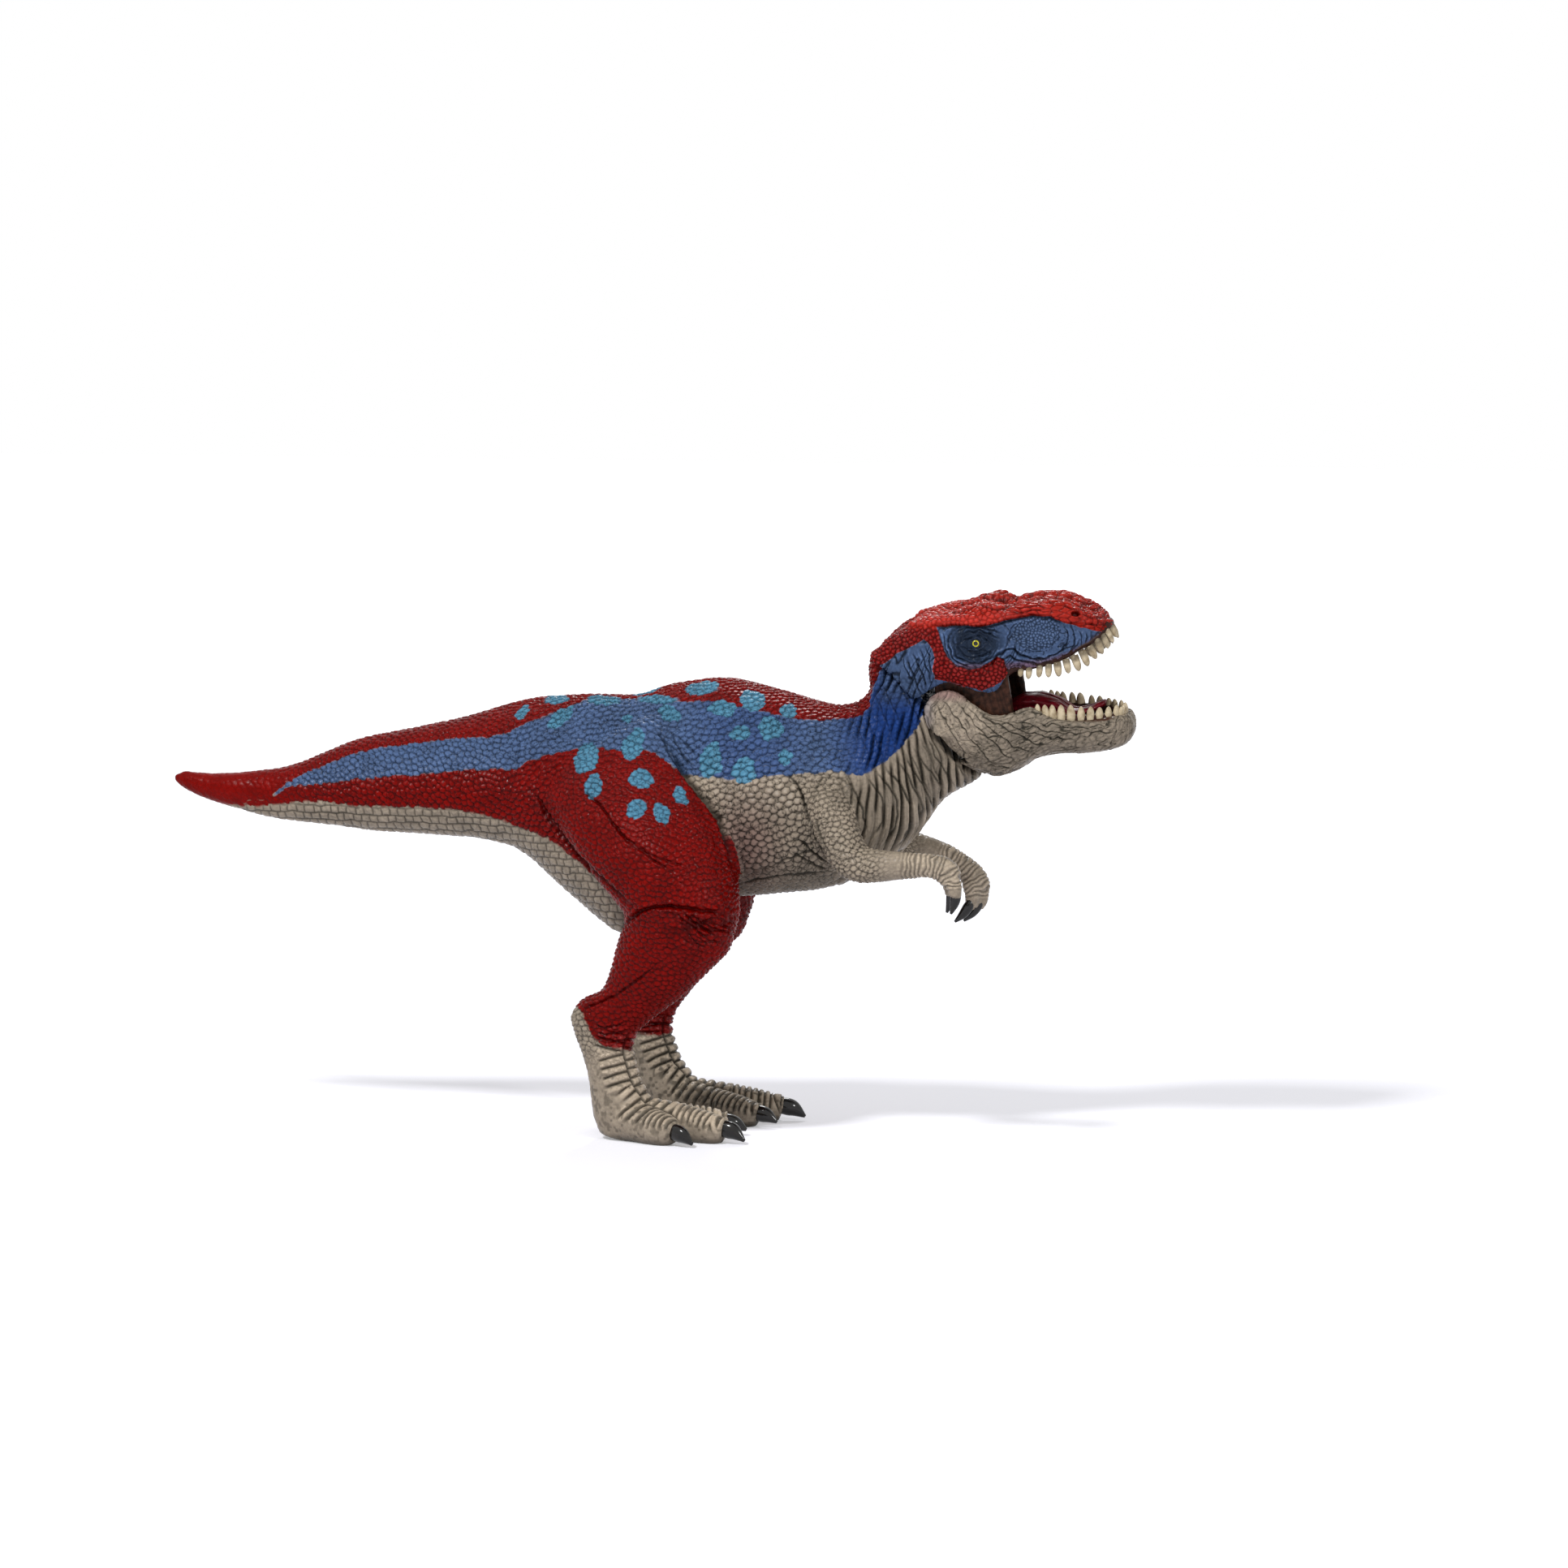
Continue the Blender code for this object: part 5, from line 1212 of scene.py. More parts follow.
# Rounded bumps along the snout's ridges and over the eyes: pixel along the head, then distance from its middle, half
# length, half width and height in mm
BUMPS = (
    (1243, 3.2, 2.0, 1.9, 0.8), (1259, 3.1, 2.2, 2.0, 1.1), (1276, 3.0, 2.2, 2.0, 1.2), (1293, 2.9, 2.2, 2.0, 1.15),
    (1309, 2.7, 2.1, 1.9, 1.0), (1324, 2.4, 1.8, 1.7, 0.7), (1222, 6.2, 4.2, 3.0, 1.3), (1190, 6.5, 3.4, 2.4, 0.8),
    (1166, 6.0, 3.0, 2.2, 0.6),
)


def facing_in(skin):
    """1 where a skin of the head faces the mouth or the middle of the head, and its normals in the head's frame."""
    normals = skin.normals()
    side = head_place(skin.points)[:, 1]
    turned = rolled(normals + PIVOT, -HEAD_ROLL) - PIVOT
    return ramp(-turned[:, 1] * np.sign(side), 0.15, 0.45), turned


def held(skin, height):
    """Keeps what is carved from going through thin walls."""
    normals = skin.normals()
    tree = BVHTree.FromPolygons(skin.points.tolist(), skin.quads.tolist())
    thick = np.full(len(height), 4.0)
    for i in np.flatnonzero(height < -0.1):
        found = tree.ray_cast(skin.points[i] - 0.05 * normals[i], -normals[i], 4.0)
        if found[0] is not None:
            thick[i] = found[3]
    return np.maximum(height, -0.35 * thick)


def thin_walls(name, wanted):
    """Prisms that bring a CAD node's thin walls to the wanted thickness from inside."""
    points, faces = node_surface(name)
    tree = BVHTree.FromPolygons(points.tolist(), faces.tolist())
    corners = points[faces]
    normal = np.cross(corners[:, 1] - corners[:, 0], corners[:, 2] - corners[:, 0])
    normal /= np.maximum(np.linalg.norm(normal, axis=1), 1e-12)[:, None]
    middle = corners.mean(axis=1)
    outward = (normal[:, 1] * np.sign(middle[:, 1]) > 0.1) | (normal[:, 2] < -0.5)
    made = []
    for i in np.flatnonzero(outward):
        found = tree.ray_cast(middle[i] - 0.01 * normal[i], -normal[i], wanted)
        if found[0] is not None:
            made.append(np.vstack((corners[i], corners[i] - wanted * normal[i])))
    prism = np.array(((0, 1, 2), (5, 4, 3), (0, 3, 4), (0, 4, 1), (1, 4, 5), (1, 5, 2), (2, 5, 3), (2, 3, 0)))
    tables = [prism + 6 * i for i in range(len(made))]
    return np.concatenate(made), np.concatenate(tables)


LIP_LINE = (
    (1236, 828), (1246, 826), (1264, 825), (1285, 823), (1302, 819), (1320, 812), (1338, 803), (1352, 792), (1367, 778),
    (1380, 764),
)


def roof_of_mouth(hx, hy, down):
    """1 on the brown palate: between the tooth rows, behind the front teeth and at the back over the lining."""
    gum_half = at([(r[0], r[1]) for r in UPPER_ROW], hx)
    between = ramp(down, 0.35, 0.7) * ramp(hx, 13.5, 15.5) * (1 - ramp(abs(hy) - gum_half, -0.6, 0.2))
    front = ramp(down, 0.55, 0.80) * ramp(hx, 38.5, 41.0)
    back = ramp(down, 0.15, 0.45) * ramp(hx, 4.0, 7.0) * (1 - ramp(abs(hy), 8.2, 9.4))
    return np.maximum(np.maximum(between, front), back)


def build_head():
    skin = remeshed([grown("head_shell", 0.0)], HEAD_VOXEL * COARSE)
    skin.relax(int(22 / COARSE**2), 1.0)
    (skin,) = skin.finer()
    points, normals = skin.points, skin.normals()
    place = head_place(points)
    hx, hy = place[:, 0], place[:, 1]
    inner, turned = facing_in(skin)
    inner = np.maximum(inner, roof_of_mouth(hx, hy, -turned[:, 2]))
    outer = 1 - inner
    near = near_side(points)
    sway = wander(near, 1.6, (1, 2))
    spots = photo(near) + 0.8 * sway
    u, v = spots.T

    # regions: distances in mm inside the blue mask and the temple's blue patch, and above the brow line
    mask = inside(spots, MASK) / PX_PER_MM
    temple = inside(spots, TEMPLE) / PX_PER_MM
    brow = (at(BROW_LINE, u) - v) / PX_PER_MM
    below_rim = edge(v - at(CHEEK_RIM, u), 1.2) * (1 - ramp(u, 1240, 1250))
    blue = np.maximum(np.maximum(edge(mask, 0.22), edge(temple, 0.4)), below_rim)
    red = 1 - blue
    cheek = red * edge(v - 774, 3.0) * (1 - ramp(u, 1244, 1252))
    round_patch = oval(spots, *PATCH)
    patch = ramp(1 - round_patch, -0.02, 0.10)
    plain = edge(mask, 0.5) * (1 - patch)
    on_temple = edge(temple, 0.5)
    snout = red * (1 - cheek) * ramp(u, 1225, 1250) * outer
    lip = ramp(v, at(LIP_LINE, u) - 14, at(LIP_LINE, u) - 6) * edge(mask, 0.4)

    # pebbles of 0.78 mm on the snout's patch to 1.45 mm on the crown
    size = laid_over(0.95, ((red * (1 - cheek), 1.45), (cheek, 1.15), (patch, 0.78), (on_temple, 1.3)))
    warp = wander(points, 1.3, (13, 14, 15)) * 0.30
    edge_distance, reach = pebbles(points + warp, size, 23)
    rise = bead(edge_distance, reach, size)
    amount = 0.42 * red + 0.10 * cheek + 0.38 * patch + 0.06 * plain + 0.05 * on_temple
    amount = amount * (1 - 0.9 * snout) * (1 - 0.9 * inner)
    relief = Relief(len(points))
    relief.height += amount * (rise - 0.6)
    lines = np.maximum(bell(edge_distance, 0.14), 0.9 * ramp(reach / size, 0.46, 0.62)) * np.clip(amount / 0.22, 0, 1)
    lines *= 1 - 0.35 * red * (1 - cheek)
    # creased plates of the snout, two and a half times as long as they are high
    long_edge, _ = pebbles(place * (0.40, 1.0, 1.0) + 0.8 * warp, 1.25, 31)
    relief.height += snout * 0.34 * (dome(long_edge / 0.38) - 0.6)
    lines = np.maximum(lines, snout * 0.85 * bell(long_edge, 0.13))
    relief.height += 0.30 * noise(points, 2.6, 33) * red * outer

    # the brow's ridge and the groove under it, the groove behind the mask, the bumps along the crown
    relief.height += 0.55 * ramp(brow, -0.1, 0.4) * (1 - ramp(brow, 1.4, 4.0)) * outer
    relief.groove(abs(brow + 0.35), 0.42, 0.50, outer * ramp(u, 1150, 1160) * (1 - ramp(u, 1300, 1315)))
    relief.groove(abs(mask), 0.24, 0.28, outer * (1 - ramp(u, 1240, 1250)) * ramp(v, 776, 784))
    upward = ramp(normals[:, 2], 0.1, 0.5) * outer
    for x, y, long, wide, height in BUMPS:
        round_share = np.hypot((u - x) / PX_PER_MM / long, (abs(hy) - y) / wide)
        relief.height += upward * height * np.sqrt(np.clip(1 - round_share ** 2, 0, 1))
        # painted shade round the foot of each bump
        relief.wash_and_shade = np.maximum(relief.wash_and_shade, upward * 0.8 * bell(round_share - 1.06, 0.10))
    for width, depth, line in HEAD_FOLDS:
        fold = Relief(len(points))
        fold.crease(spots + 1.2 * sway, PX_PER_MM, line, 0.65 * width, 1.5 * depth)
        relief.height += fold.height * outer
        relief.wash_and_shade = np.maximum(relief.wash_and_shade, fold.wash_and_shade * outer)

    # fine wrinkles: round the eye, round the patch, up and down on the temple, and across the lip and the cheek's rim
    ring = oval(spots, *EYE_WRINKLES)
    wrinkle = wavy_lines(ring * 6.0, np.arctan2(v - EYE[1], u - EYE[0]) * 1.2, 0.8, 41)
    relief.groove(wrinkle * 1.5, 0.16, 0.34, plain * (1 - ramp(ring, 1.6, 2.6)) * outer)
    patch_x, patch_y = PATCH[0]
    wrinkle = wavy_lines(round_patch * 6.0, np.arctan2(v - patch_y, (u - patch_x) * 0.7) * 2.0, 0.85, 44)
    relief.groove(wrinkle * 2.2, 0.15, 0.34, plain * ramp(ring, 1.3, 2.2) * outer)
    wrinkle = wavy_lines((u + 0.45 * v) / PX_PER_MM, v / PX_PER_MM * 0.22, 1.1, 42)
    relief.groove(wrinkle * 2.0, 0.20, 0.48, edge(temple, 0.8) * outer)
    wrinkle = wavy_lines((u - 0.6 * v) / PX_PER_MM, v / PX_PER_MM * 0.4, 0.8, 43)
    relief.groove(wrinkle * 1.4, 0.14, 0.26, np.maximum(lip, 0.8 * below_rim) * outer)
    # the eye lies in a hollow between lids, the nostril is a hole with a rim
    hollow = oval(spots, *EYE_HOLLOW)
    lids = 0.22 * bell(hollow - 0.62, 0.22) - 0.35 * bell(hollow - 1.05, 0.25) - 0.55 * bell(hollow, 0.32)
    relief.height += lids * outer
    hole = oval(spots, *NOSTRIL)
    relief.height += (0.40 * bell(hole - 1.35, 0.40) - 1.4 * (1 - ramp(hole, 0.55, 1.05))) * outer

    # dark wash and painted shade in the lines, folds and nostril; the blue thinly darker in tone, and painted shade
    # most round the eye's hollow and under the brow, less on raised skin
    wash_and_shade = np.clip(0.95 * lines + 1.1 * relief.wash_and_shade + (1 - ramp(hole, 0.75, 1.1)) * outer, 0, 1)
    around_eye = bell(np.maximum(ring - 0.2, 0), 0.75) * edge(mask, 0.8)
    under_brow = edge(mask, 0.8) * (1 - ramp(-brow, 0.3, 2.2))
    shade = 1.35 * around_eye + 0.30 * plain + 0.42 * on_temple + 0.55 * patch + 0.35 * under_brow
    shade = np.clip(shade - 0.45 * ramp(relief.height, 0.0, 0.3), 0, 0.95)
    # dry brushing and painted highlight on the pebbles' tops
    tops = ramp(rise, 0.72, 1) * np.clip(amount / 0.2, 0, 1) * (0.70 - 0.35 * red)
    layers = {
        "red": red * outer, "crown": 0.75 * red * (1 - cheek) * outer, "blue": blue * outer, "deep": 0 * u,
        "teal": 0 * u, "blush": 0.6 * lip * outer, "brown": inner,
        # painted shade inside the mouth; dry brushing and painted highlight on raised skin
        "wash_and_shade": np.clip(np.maximum(wash_and_shade, shade) + 0.3 * inner, 0, 1),
        "tops": tops + 0.35 * ramp(relief.height, 0.05, 0.35) * outer,
    }
    skin.points = points + normals * held(skin, relief.height)[:, None]
    made = make_piece("head_skin", skin.points, [skin.quads], SKIN, layers=layers)
    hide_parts("head_shell")
    return skin, photo(near), hy


JAW_OUTLINE = (
    (1150, 850), (1136, 866), (1133, 885), (1140, 908), (1158, 935), (1184, 952), (1215, 960), (1246, 958), (1276, 948),
    (1306, 937), (1346, 933), (1384, 928), (1400, 908), (1400, 880),
)
# Wall thickness in mm that the jaw's skin gets where the CAD node is thinner
JAW_WALL = 0.9


def build_jaw():
    skin = remeshed([grown("lower_jaw", 0.0), thin_walls("lower_jaw", JAW_WALL)], HEAD_VOXEL * COARSE)
    skin.relax(int(18 / COARSE**2), 1.0)
    (skin,) = skin.finer()
    points, normals = skin.points, skin.normals()
    hx, hy = head_place(points)[:, :2].T
    inner, turned = facing_in(skin)
    floor = ramp(turned[:, 2], 0.5, 0.8) * ramp(hx, 19, 23) * (1 - ramp(hx, 44, 47)) * (1 - ramp(abs(hy), 8.0, 9.4))
    inner = np.maximum(inner, floor)
    outer = 1 - inner
    near = near_side(points)
    sway = wander(near, 1.6, (1, 2))
    spots = photo(near) + 1.0 * sway
    u, v = spots.T
    lobe = 1 - ramp(np.hypot(u - LOBE[0], v - LOBE[1]), 30, 46)

    # faint plates that follow the jaw's lower outline: pebbles in a space squeezed to half along it
    away, place = along(spots, JAW_OUTLINE)
    length = np.linalg.norm(np.diff(np.array(JAW_OUTLINE, float), axis=0), axis=1).sum()
    lie = np.stack((place * length / PX_PER_MM * 0.50, away / PX_PER_MM, hy * 0.8), axis=1)
    size = 1.20 + 0.3 * lobe
    edge_distance, _ = pebbles(lie + wander(points, 2.2, (13, 14, 15)) * 0.35, size, 29)
    rise = dome(edge_distance / (0.40 * size))
    amount = 0.08 * (1 - 0.5 * lobe) * (1 - 0.85 * inner)
    relief = Relief(len(points))
    relief.height += amount * (rise - 0.6)
    lines = 0.35 * bell(edge_distance, 0.10) * np.clip(amount / 0.20, 0, 1)

    # folds, the wide ones deeper, then creases across them and creases that flow along the outline
    for width, depth, line in JAW_FOLDS:
        fold = Relief(len(points))
        fold.crease(spots + 2.2 * sway, PX_PER_MM, line, 0.55 * width, (1.25 if width > 0.25 else 0.8) * depth)
        relief.height += fold.height * outer
        relief.wash_and_shade = np.maximum(relief.wash_and_shade, 0.9 * fold.wash_and_shade * outer)
    crossing = wavy_lines((u + 1.2 * v) / PX_PER_MM, (v - u) / PX_PER_MM * 0.35, 1.0, 51)
    relief.groove(crossing * 2.6, 0.12, 0.14, outer)
    flowing = wavy_lines(lie[:, 0] * 0.22, lie[:, 1] + 0.25 * sway[:, 0], 0.8, 53, lie[:, 2] * 0.5)
    relief.groove(flowing * 2.4, 0.14, 0.28, outer)
    relief.height += 0.16 * noise(points, 4.0, 52)

    # a little pink on the ear's top and blue from the temple on its back
    pink = 0.5 * ramp(-(v - 868), 0, 12) * (1 - ramp(u, 1190, 1215)) * outer
    # wash and painted shade in lines and folds, painted shade inside the mouth; outside the ear the jaw is darker, part
    # its own tone and part painted shade underneath
    wash_and_shade = 0.80 * lines + 1.1 * relief.wash_and_shade + 0.3 * inner + 0.42 * outer * (1 - 0.75 * lobe)
    layers = {
        "red": 0 * u, "crown": 0 * u, "blue": 0 * u, "teal": 0 * u, "blush": pink, "brown": inner,
        "deep": 0.28 * ramp(1156 - u, 0, 16) * (1 - ramp(v, 885, 915)) * outer,
        # dry brushing and painted highlight on the plates' tops
        "wash_and_shade": np.clip(wash_and_shade, 0, 1), "tops": ramp(rise, 0.75, 1) * outer * 0.45,
    }
    skin.points = points + normals * held(skin, relief.height)[:, None]
    made = make_piece("lower_jaw_skin", skin.points, [skin.quads], SKIN, "jaw", layers)
    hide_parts("lower_jaw")


# ---------------------------------------------------------------- lofted pieces
def lofted(rings):
    """Points, side quads and end triangles of a closed form through rings of as many points each."""
    rings = np.asarray(rings)
    count, sides = rings.shape[:2]
    number = np.arange(count * sides).reshape(count, sides)
    here, there = number[:-1], number[1:]
    quads = np.stack((here, np.roll(here, -1, axis=1), np.roll(there, -1, axis=1), there), axis=2).reshape(-1, 4)
    first, last = number[0], number[-1]
    low, high = np.full(sides, count * sides), np.full(sides, count * sides + 1)
    ends = np.concatenate((
        np.stack((low, np.roll(first, -1), first), axis=1), np.stack((high, last, np.roll(last, -1)), axis=1),
    ))
    points = np.vstack((rings.reshape(-1, 3), rings[0].mean(axis=0), rings[-1].mean(axis=0)))
    return points, quads, ends


def joined(forms):
    """Several lofted forms as the points and tables of one piece."""
    points, quads, ends, count = [], [], [], 0
    for form in forms:
        points.append(form[0])
        quads.append(form[1] + count)
        ends.append(form[2] + count)
        count += len(form[0])
    return np.concatenate(points), [np.concatenate(quads), np.concatenate(ends)]


def curved(path, steps):
    """A smooth row through points, with as many values each (Catmull-Rom)."""
    path = np.asarray(path, float)
    padded = np.vstack((2 * path[0] - path[1], path, 2 * path[-1] - path[-2]))
    rows = []
    for i in range(1, len(padded) - 2):
        a, b, c, d = padded[i - 1 : i + 3]
        for t in np.arange(steps) / steps:
            square, cube = (2 * a - 5 * b + 4 * c - d) * t**2, (3 * b - a - 3 * c + d) * t**3
            rows.append(0.5 * (2 * b + (c - a) * t + square + cube))
    return np.array(rows + [path[-1]])


def rings_along(path, radii, across, sides, flat=1.0):
    """Rings round a path; `across` is the direction of the ring's first radius, `flat` narrows the other one."""
    forward = np.gradient(path, axis=0)
    forward /= np.linalg.norm(forward, axis=1)[:, None]
    first = across - (forward @ across)[:, None] * forward
    first /= np.linalg.norm(first, axis=1)[:, None]
    second = np.cross(forward, first) * flat
    angle = np.arange(sides) * math.tau / sides
    return path[:, None] + radii[:, None, None] * (
        first[:, None] * np.cos(angle)[None, :, None] + second[:, None] * np.sin(angle)[None, :, None]
    )


# Tooth rows in the head's frame: forward, half width, height of the gum in mm
UPPER_ROW = (
    (16.6, 11.9, 10.7), (18.4, 11.3, 11.9), (22.5, 10.5, 12.5), (27.9, 9.9, 13.65), (32.4, 9.2, 15.4),
    (36.4, 8.2, 17.8), (39.6, 6.7, 19.2), (42.3, 4.4, 21.6), (43.6, 2.2, 22.6),
)
LOWER_ROW = (
    (24.5, 9.3, -2.0), (28.6, 8.6, -2.2), (34.0, 7.9, -2.2), (39.2, 7.0, -2.2), (43.2, 5.6, -2.2), (46.0, 3.4, -2.2),
    (47.0, 1.4, -2.3),
)
# Near teeth as pixels of the photograph: root x, root y, tip x, tip y, radius in mm
UPPER_TEETH = (
    (1258, 826, 1258, 833, 0.75), (1268, 825, 1268, 836, 0.85), (1281, 823, 1281, 834, 0.85),
    (1292, 822, 1293, 834, 0.90), (1303, 820, 1306, 833, 1.00), (1314, 816, 1318, 829, 0.95),
    (1325, 812, 1331, 826, 1.05), (1335, 806, 1342, 820, 1.05), (1344, 799, 1352, 811, 1.00),
    (1352, 791, 1360, 805, 1.00), (1359, 784, 1367, 798, 0.95), (1365, 777, 1373, 791, 0.90),
)
LOWER_TEETH = (
    (1279, 885, 1278, 868, 0.80), (1289, 887, 1287, 869, 0.95), (1298, 889, 1296, 869, 0.95),
    (1308, 891, 1307, 869, 1.05), (1320, 891, 1319, 869, 1.10), (1332, 892, 1332, 871, 1.00),
    (1343, 892, 1344, 871, 1.00), (1354, 892, 1355, 872, 1.05), (1365, 891, 1366, 871, 1.00),
    (1375, 889, 1376, 869, 1.00), (1384, 886, 1385, 868, 0.90),
)
# Front teeth in the head's frame: root, tip and radius in mm
UPPER_FRONT = (((43.4, 2.9, 23.0), (45.2, 3.2, 19.8), 0.9), ((44.0, 1.0, 23.4), (46.0, 1.1, 20.2), 0.95))
LOWER_FRONT = (((46.6, 2.5, -3.0), (47.2, 2.7, 0.9), 0.95), ((47.1, 0.85, -3.0), (47.8, 0.9, 0.8), 0.9))
# How far the tips stand outward in mm: the upper ones out and the lower ones in, so that they pass when the jaw closes
UPPER_LEAN, LOWER_LEAN = 0.88, -0.48
# Teeth are a little fatter than they look between their dark edges
UPPER_GAIN, LOWER_GAIN = 1.06, 1.18
# A tooth from inside the gum to its blunt tip: share of its height, share of its radius
TOOTH_SHAPE = (
    (-0.30, 1.00), (0.0, 1.02), (0.30, 1.00), (0.55, 0.92), (0.74, 0.78), (0.88, 0.56), (0.96, 0.32), (1.0, 0.10),
)
TOOTH_SIDES, CLAW_SIDES, EYE_SIDES, GUM_SIDES = 14, 20, 32, 12
# The eyeball from its back to its middle: radius and height in mm; the fourth and fifth ring bound the yellow one
EYE_SHAPE = (
    (1.6, -1.1), (1.5, -0.35), (1.36, -0.02), (1.08, 0.26), (0.90, 0.39), (0.60, 0.52), (0.52, 0.55), (0.3, 0.60),
    (0.1, 0.62),
)
IRIS_RING = 4


def on_wall(pixel, row):
    """The point in the head's frame that a pixel shows on the near wall that stands on a tooth row."""
    ray = RIGHT * (pixel[0] - IMAGE_PX / 2) / FOCAL_PX - UP * (pixel[1] - IMAGE_PX / 2) / FOCAL_PX + AHEAD
    start = head_place(CAMERA[None] / MM)[0]
    ray = head_place((CAMERA / MM + ray * 100)[None])[0] - start
    x = 30.0
    for _ in range(12):
        half = np.interp(x, [r[0] for r in row], [r[1] for r in row])
        found = start + ray * (-half - start[1]) / ray[1]
        x = 0.5 * (x + found[0])
    return found


def world(points):
    """Points of the head's frame in mm of the whole figure."""
    return rolled(np.asarray(points) + PIVOT, HEAD_ROLL)


def tooth_row(name, row, teeth, front, body, lean, gain):
    """Blunt, slightly flattened pegs of soft vinyl on both sides and round the front of a mouth."""
    draw = np.random.default_rng(5)
    forms, root_share = [], []
    places = [(on_wall(t[:2], row), on_wall(t[2:4], row), t[4]) for t in teeth]
    for side in (1, -1):
        for root, tip, radius in places:
            # the near teeth are those of the photograph, the far ones differ a little from them
            shift = 0.0 if side == 1 else draw.uniform(-0.4, 0.4)
            size = radius * (1 if side == 1 else draw.uniform(0.92, 1.05))
            ends = np.array((root, tip)) * (1, side, 1) + (shift, 0, 0)
            ends[1, 1] += lean * np.sign(ends[0, 1])
            forms.append((ends, size))
        for root, tip, radius in front:
            forms.append((np.array((root, tip)) * (1, side, 1), radius))
    made = []
    xs, halves = [r[0] for r in row], [r[1] for r in row]
    share, size = np.array(TOOTH_SHAPE).T
    bend = 0.25 * np.maximum(share, 0) ** 2
    for (root, tip), radius in forms:
        slope = np.interp(root[0] + 1, xs, halves) - np.interp(root[0] - 1, xs, halves)
        tangent = np.array((2.0, slope * np.sign(root[1]), 0.0))
        if abs(root[1]) < 3.0:
            tangent = np.array((0.3, 1.0, 0.0))
        path = root + share[:, None] * (tip - root) + bend[:, None] * np.array((-0.5, -0.4 * np.sign(root[1]), 0))
        rings = rings_along(path, gain * radius * size, tangent, TOOTH_SIDES, 0.80)
        made.append(lofted(world(rings.reshape(-1, 3)).reshape(rings.shape)))
        root_share.append(np.append(np.repeat(1 - ramp(share, 0.0, 0.32), TOOTH_SIDES), (1.0, 0.0)))
    points, faces = joined(made)
    piece = make_piece(name, points, faces, TOOTH, body, {"wash_and_shade": 0.75 * np.concatenate(root_share)})


def gum(name, node, row, body, up):
    """A strip of gum along a tooth row with the plate that holds it; the CAD node's own teeth are left out."""
    radius, inset, lift = 1.25, 0.75, 1.3 if up > 0 else 0.35
    path = [np.array(r) for r in row] + [np.array(r) * (1, -1, 1) for r in row[::-1]]
    path = curved(path, 6)
    inward = 1 - inset / np.maximum(abs(path[:, 1]), 2.0)
    line = world(path * np.stack((1 + 0 * inward, inward, 1 + 0 * inward), axis=1) + (0, 0, lift))
    rings = rings_along(line, np.full(len(line), radius), np.array((0.0, 0.0, 1.0)), GUM_SIDES, 0.95)
    rings += 0.12 * noise(rings.reshape(-1, 3), 1.4, 61).reshape(rings.shape[:2])[..., None] * (0, 0, 1)
    points, quads, ends = lofted(rings)
    skin = remeshed([grown(node, 0.0)], GUM_VOXEL * COARSE)
    skin.relax(4, 1.0)
    place = head_place(skin.points)
    level = at([(r[0], r[2]) for r in row], place[:, 0])
    keep = ((place[:, 2] - level) * up > 0.1)[skin.quads].all(axis=1)
    body_points = np.vstack((points, skin.points))
    made = make_piece(name, body_points, [np.vstack((quads, skin.quads[keep] + len(points))), ends], GUM, body,
                      {"wash_and_shade": np.full(len(body_points), 0.25)})
    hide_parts(node)


def soft_inside(name, node, voxel, material, body, shape):
    """A soft piece of the mouth: the CAD node remeshed, ironed and given its folds by `shape`."""
    skin = remeshed([grown(node, 0.0)], voxel * COARSE)
    skin.relax(int(14 / COARSE**2), 1.0)
    (skin,) = skin.finer()
    height, wash_and_shade = shape(skin)
    skin.points = skin.points + skin.normals() * height[:, None]
    made = make_piece(name, skin.points, [skin.quads], material, body, {"wash_and_shade": wash_and_shade})
    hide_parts(node)


def tongue_form(skin):
    """An arched back with a groove along its middle and fine ripples."""
    hx, hy = head_place(skin.points)[:, :2].T
    middle = bell(hy, 0.55) * ramp(skin.normals()[:, 2], 0.2, 0.7)
    ripple = noise(skin.points * (0.4, 1.4, 1.0), 0.9, 71)
    arch = 1.3 * ramp(skin.normals()[:, 2], 0.2, 0.7) * ramp(hx, 14, 20) * (1 - ramp(hx, 28, 34))
    # painted shade in the middle groove and in the ripples' hollows
    return arch - 0.55 * middle + 0.12 * ripple, np.clip(0.7 * middle + 0.25 * np.maximum(-ripple, 0), 0, 1)


def membrane_form(skin):
    """Upright streaks, and painted shade that makes the throat in the middle nearly black."""
    hx, hy, hz = head_place(skin.points).T
    ridge = wavy_lines(hx + 0.25 * hz, hy * 0.3, 1.2, 72, hz * 0.18)
    # painted shade: the middle of the throat, deep in the mouth, nearly black
    deep = ramp(-np.abs(hy), -8.5, -6.0) * ramp(hx, 8, 18)
    return 0.18 * (ridge - 0.4), np.clip(bell(ridge, 0.18) * 0.7 + 0.9 * deep, 0, 1)


def claws(name, rows):
    """Gloss black claws: curved cones a little higher than wide, set into the ends of the toes."""
    made = []
    for row in rows:
        table = curved(row, 8)
        line, size = table[:, :3], np.maximum(table[:, 3], 0.18)
        made.append(lofted(rings_along(line, size, np.array((0.0, 0.0, 1.0)), CLAW_SIDES, 0.78)))
    points, faces = joined(made)
    piece = make_piece(name, points, faces, CLAW, layers={"wash_and_shade": np.zeros(len(points))})


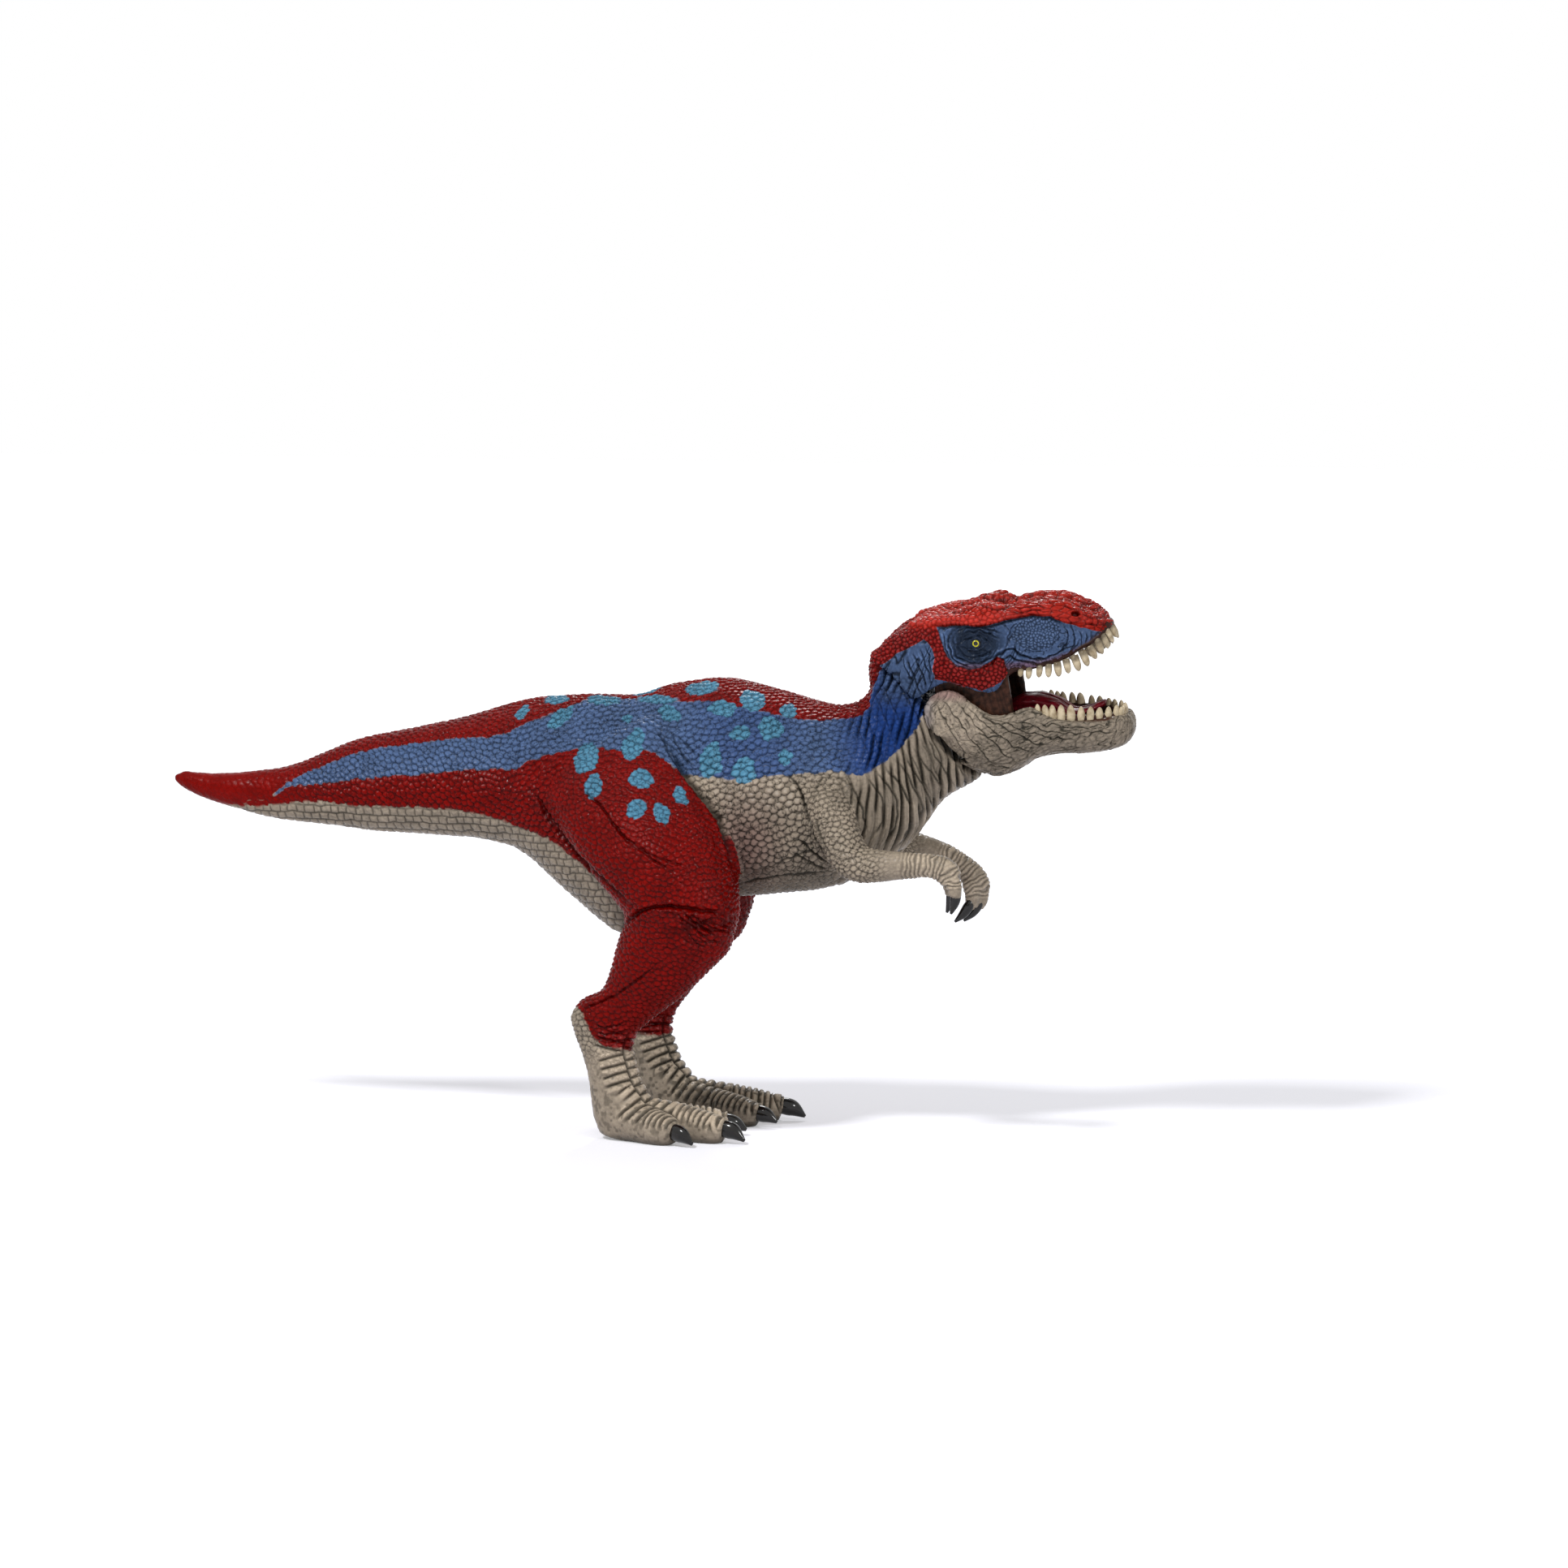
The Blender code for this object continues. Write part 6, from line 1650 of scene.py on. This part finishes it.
def eye(name, skin, places, side, sign):
    """A glossy eyeball: a shallow dome with a black pupil inside a yellow ring."""
    of_side = np.flatnonzero(np.sign(side) == sign)
    away = np.linalg.norm(places[of_side] - EYE, axis=1)
    close = of_side[np.argsort(away)[:12]]
    outer = close[np.argsort(-np.abs(side[close]))[:6]]
    middle = skin.points[outer].mean(axis=0)
    normal = skin.normals()[outer].mean(axis=0)
    normal = 0.55 * normal / np.linalg.norm(normal) + 0.45 * np.array((0.1, sign * 0.98, 0.0))
    normal /= np.linalg.norm(normal)
    first = np.cross(normal, (0, 0, 1.0))
    first /= np.linalg.norm(first)
    second = np.cross(normal, first)
    angle = np.arange(EYE_SIDES) * math.tau / EYE_SIDES
    around = first * np.cos(angle)[:, None] + second * np.sin(angle)[:, None]
    rings = [middle + around * radius + normal * (height + 0.10) for radius, height in EYE_SHAPE]
    points, quads, ends = lofted(np.array(rings))
    made = make_piece(name, points, [quads, ends], PUPIL, layers={"wash_and_shade": np.zeros(len(points))})
    made.data.materials.append(IRIS)
    marks = np.zeros(len(quads) + len(ends), np.int32)
    marks[IRIS_RING * EYE_SIDES : (IRIS_RING + 1) * EYE_SIDES] = 1
    made.data.polygons.foreach_set("material_index", marks)


def build_mouth():
    tooth_row("upper_teeth", UPPER_ROW, UPPER_TEETH, UPPER_FRONT, "figure", UPPER_LEAN, UPPER_GAIN)
    gum("upper_gum", "upper_teeth_plate", UPPER_ROW, "figure", 1)
    tooth_row("lower_teeth", LOWER_ROW, LOWER_TEETH, LOWER_FRONT, "jaw", LOWER_LEAN, LOWER_GAIN)
    gum("lower_gum", "lower_teeth_rail", LOWER_ROW, "jaw", -1)
    soft_inside("tongue_skin", "tongue", TONGUE_VOXEL, TONGUE, "jaw", tongue_form)
    soft_inside("mouth_membrane", "mouth_lining", MEMBRANE_VOXEL, MEMBRANE, "figure", membrane_form)
    NODES["jaw_pin"].data.materials.clear()
    NODES["jaw_pin"].data.materials.append(PIN)


head, head_places, head_side = build_head()
eye("right_eye", head, head_places, head_side, -1)
eye("left_eye", head, head_places, head_side, 1)
build_jaw()
build_mouth()
for claw_name, claw_table in CLAWS.items():
    claws(claw_name, claw_table)


# ---------------------------------------------------------------- studio
# Soft boxes: place in metres, size in metres, power in watts
SOFTBOXES = (
    ("key_softbox", (-0.30, -0.80, 1.05), 0.16, 11.0),
    ("front_softbox", (0.95, -0.75, 0.55), 0.14, 4.5),
    ("rim_softbox", (-0.10, 0.75, 0.85), 0.22, 3.5),
)


def build_studio():
    scene = bpy.context.scene
    lens = FOCAL_PX / IMAGE_PX * SENSOR_MM
    camera = bpy.data.objects.new("photo_camera", bpy.data.cameras.new("photo_camera"))
    camera.data.lens, camera.data.sensor_width = lens, SENSOR_MM
    camera.data.clip_start, camera.data.clip_end = 0.1, 20.0
    turn = Matrix((RIGHT, UP, -AHEAD)).transposed().to_4x4()
    camera.matrix_world = Matrix.Translation(CAMERA) @ turn
    scene.collection.objects.link(camera)
    scene.camera = camera

    bpy.ops.mesh.primitive_grid_add(x_subdivisions=2, y_subdivisions=2, size=8.0)
    floor = bpy.context.object
    floor.name = "studio_floor"
    material, tree = new_material("white_studio_sweep")
    # the sweep shows white and keeps the figure's shadow, and gloss on the figure sees the same white
    path = add(tree, "LightPath")
    camera_ray, glossy_ray = path.outputs["Is Camera Ray"], path.outputs["Is Glossy Ray"]
    seen = add(tree, "Math", {0: camera_ray, 1: glossy_ray}, operation="MAXIMUM")
    place = add(tree, "VectorMath", {0: add(tree, "TexCoord").outputs["Object"]}, operation="LENGTH").outputs["Value"]
    # it glows little near the figure, where its shadow falls, and fully from 1.6 m out
    far = add(tree, "MapRange", {
        "Value": place, "From Min": 0.35, "From Max": 1.6, "To Min": 0.30, "To Max": 1.0,
    }).outputs["Result"]
    plain = add(tree, "BsdfDiffuse", {"Color": colour("#E4E4EC")})
    glow = add(tree, "Emission", {"Color": colour(WHITE), "Strength": far})
    both = add(tree, "AddShader", {0: plain.outputs[0], 1: glow.outputs[0]})
    blend = add(tree, "MixShader", {0: seen.outputs[0], 1: plain.outputs[0], 2: both.outputs[0]})
    add(tree, "OutputMaterial", {"Surface": blend.outputs[0]})
    floor.data.materials.append(material)

    backdrop = bpy.data.worlds.new("white_studio")
    backdrop.use_nodes = True
    tree = backdrop.node_tree
    tree.nodes.clear()
    # the world lights the figure softly and shows white to the camera, to gloss and through glass
    path = add(tree, "LightPath")
    camera_ray, glossy_ray = path.outputs["Is Camera Ray"], path.outputs["Is Glossy Ray"]
    shown = add(tree, "Math", {0: camera_ray, 1: glossy_ray}, operation="MAXIMUM")
    shown = add(tree, "Math", {0: shown.outputs[0], 1: path.outputs["Is Transmission Ray"]}, operation="MAXIMUM")
    dim = add(tree, "Background", {"Color": colour(WHITE), "Strength": 0.30})
    white = add(tree, "Background", {"Color": colour(WHITE), "Strength": 1.0})
    blend = add(tree, "MixShader", {0: shown.outputs[0], 1: dim.outputs[0], 2: white.outputs[0]})
    add(tree, "OutputWorld", {"Surface": blend.outputs[0]})
    scene.world = backdrop

    middle = Vector((0.03, 0.0, 0.09))
    for name, place, size, power in SOFTBOXES:
        light = bpy.data.lights.new(name, "AREA")
        light.shape, light.size, light.energy = "SQUARE", size, power
        lamp = bpy.data.objects.new(name, light)
        lamp.location = place
        lamp.rotation_euler = (middle - Vector(place)).to_track_quat("-Z", "Y").to_euler()
        scene.collection.objects.link(lamp)
    scene.view_settings.view_transform = "Standard"


build_studio()
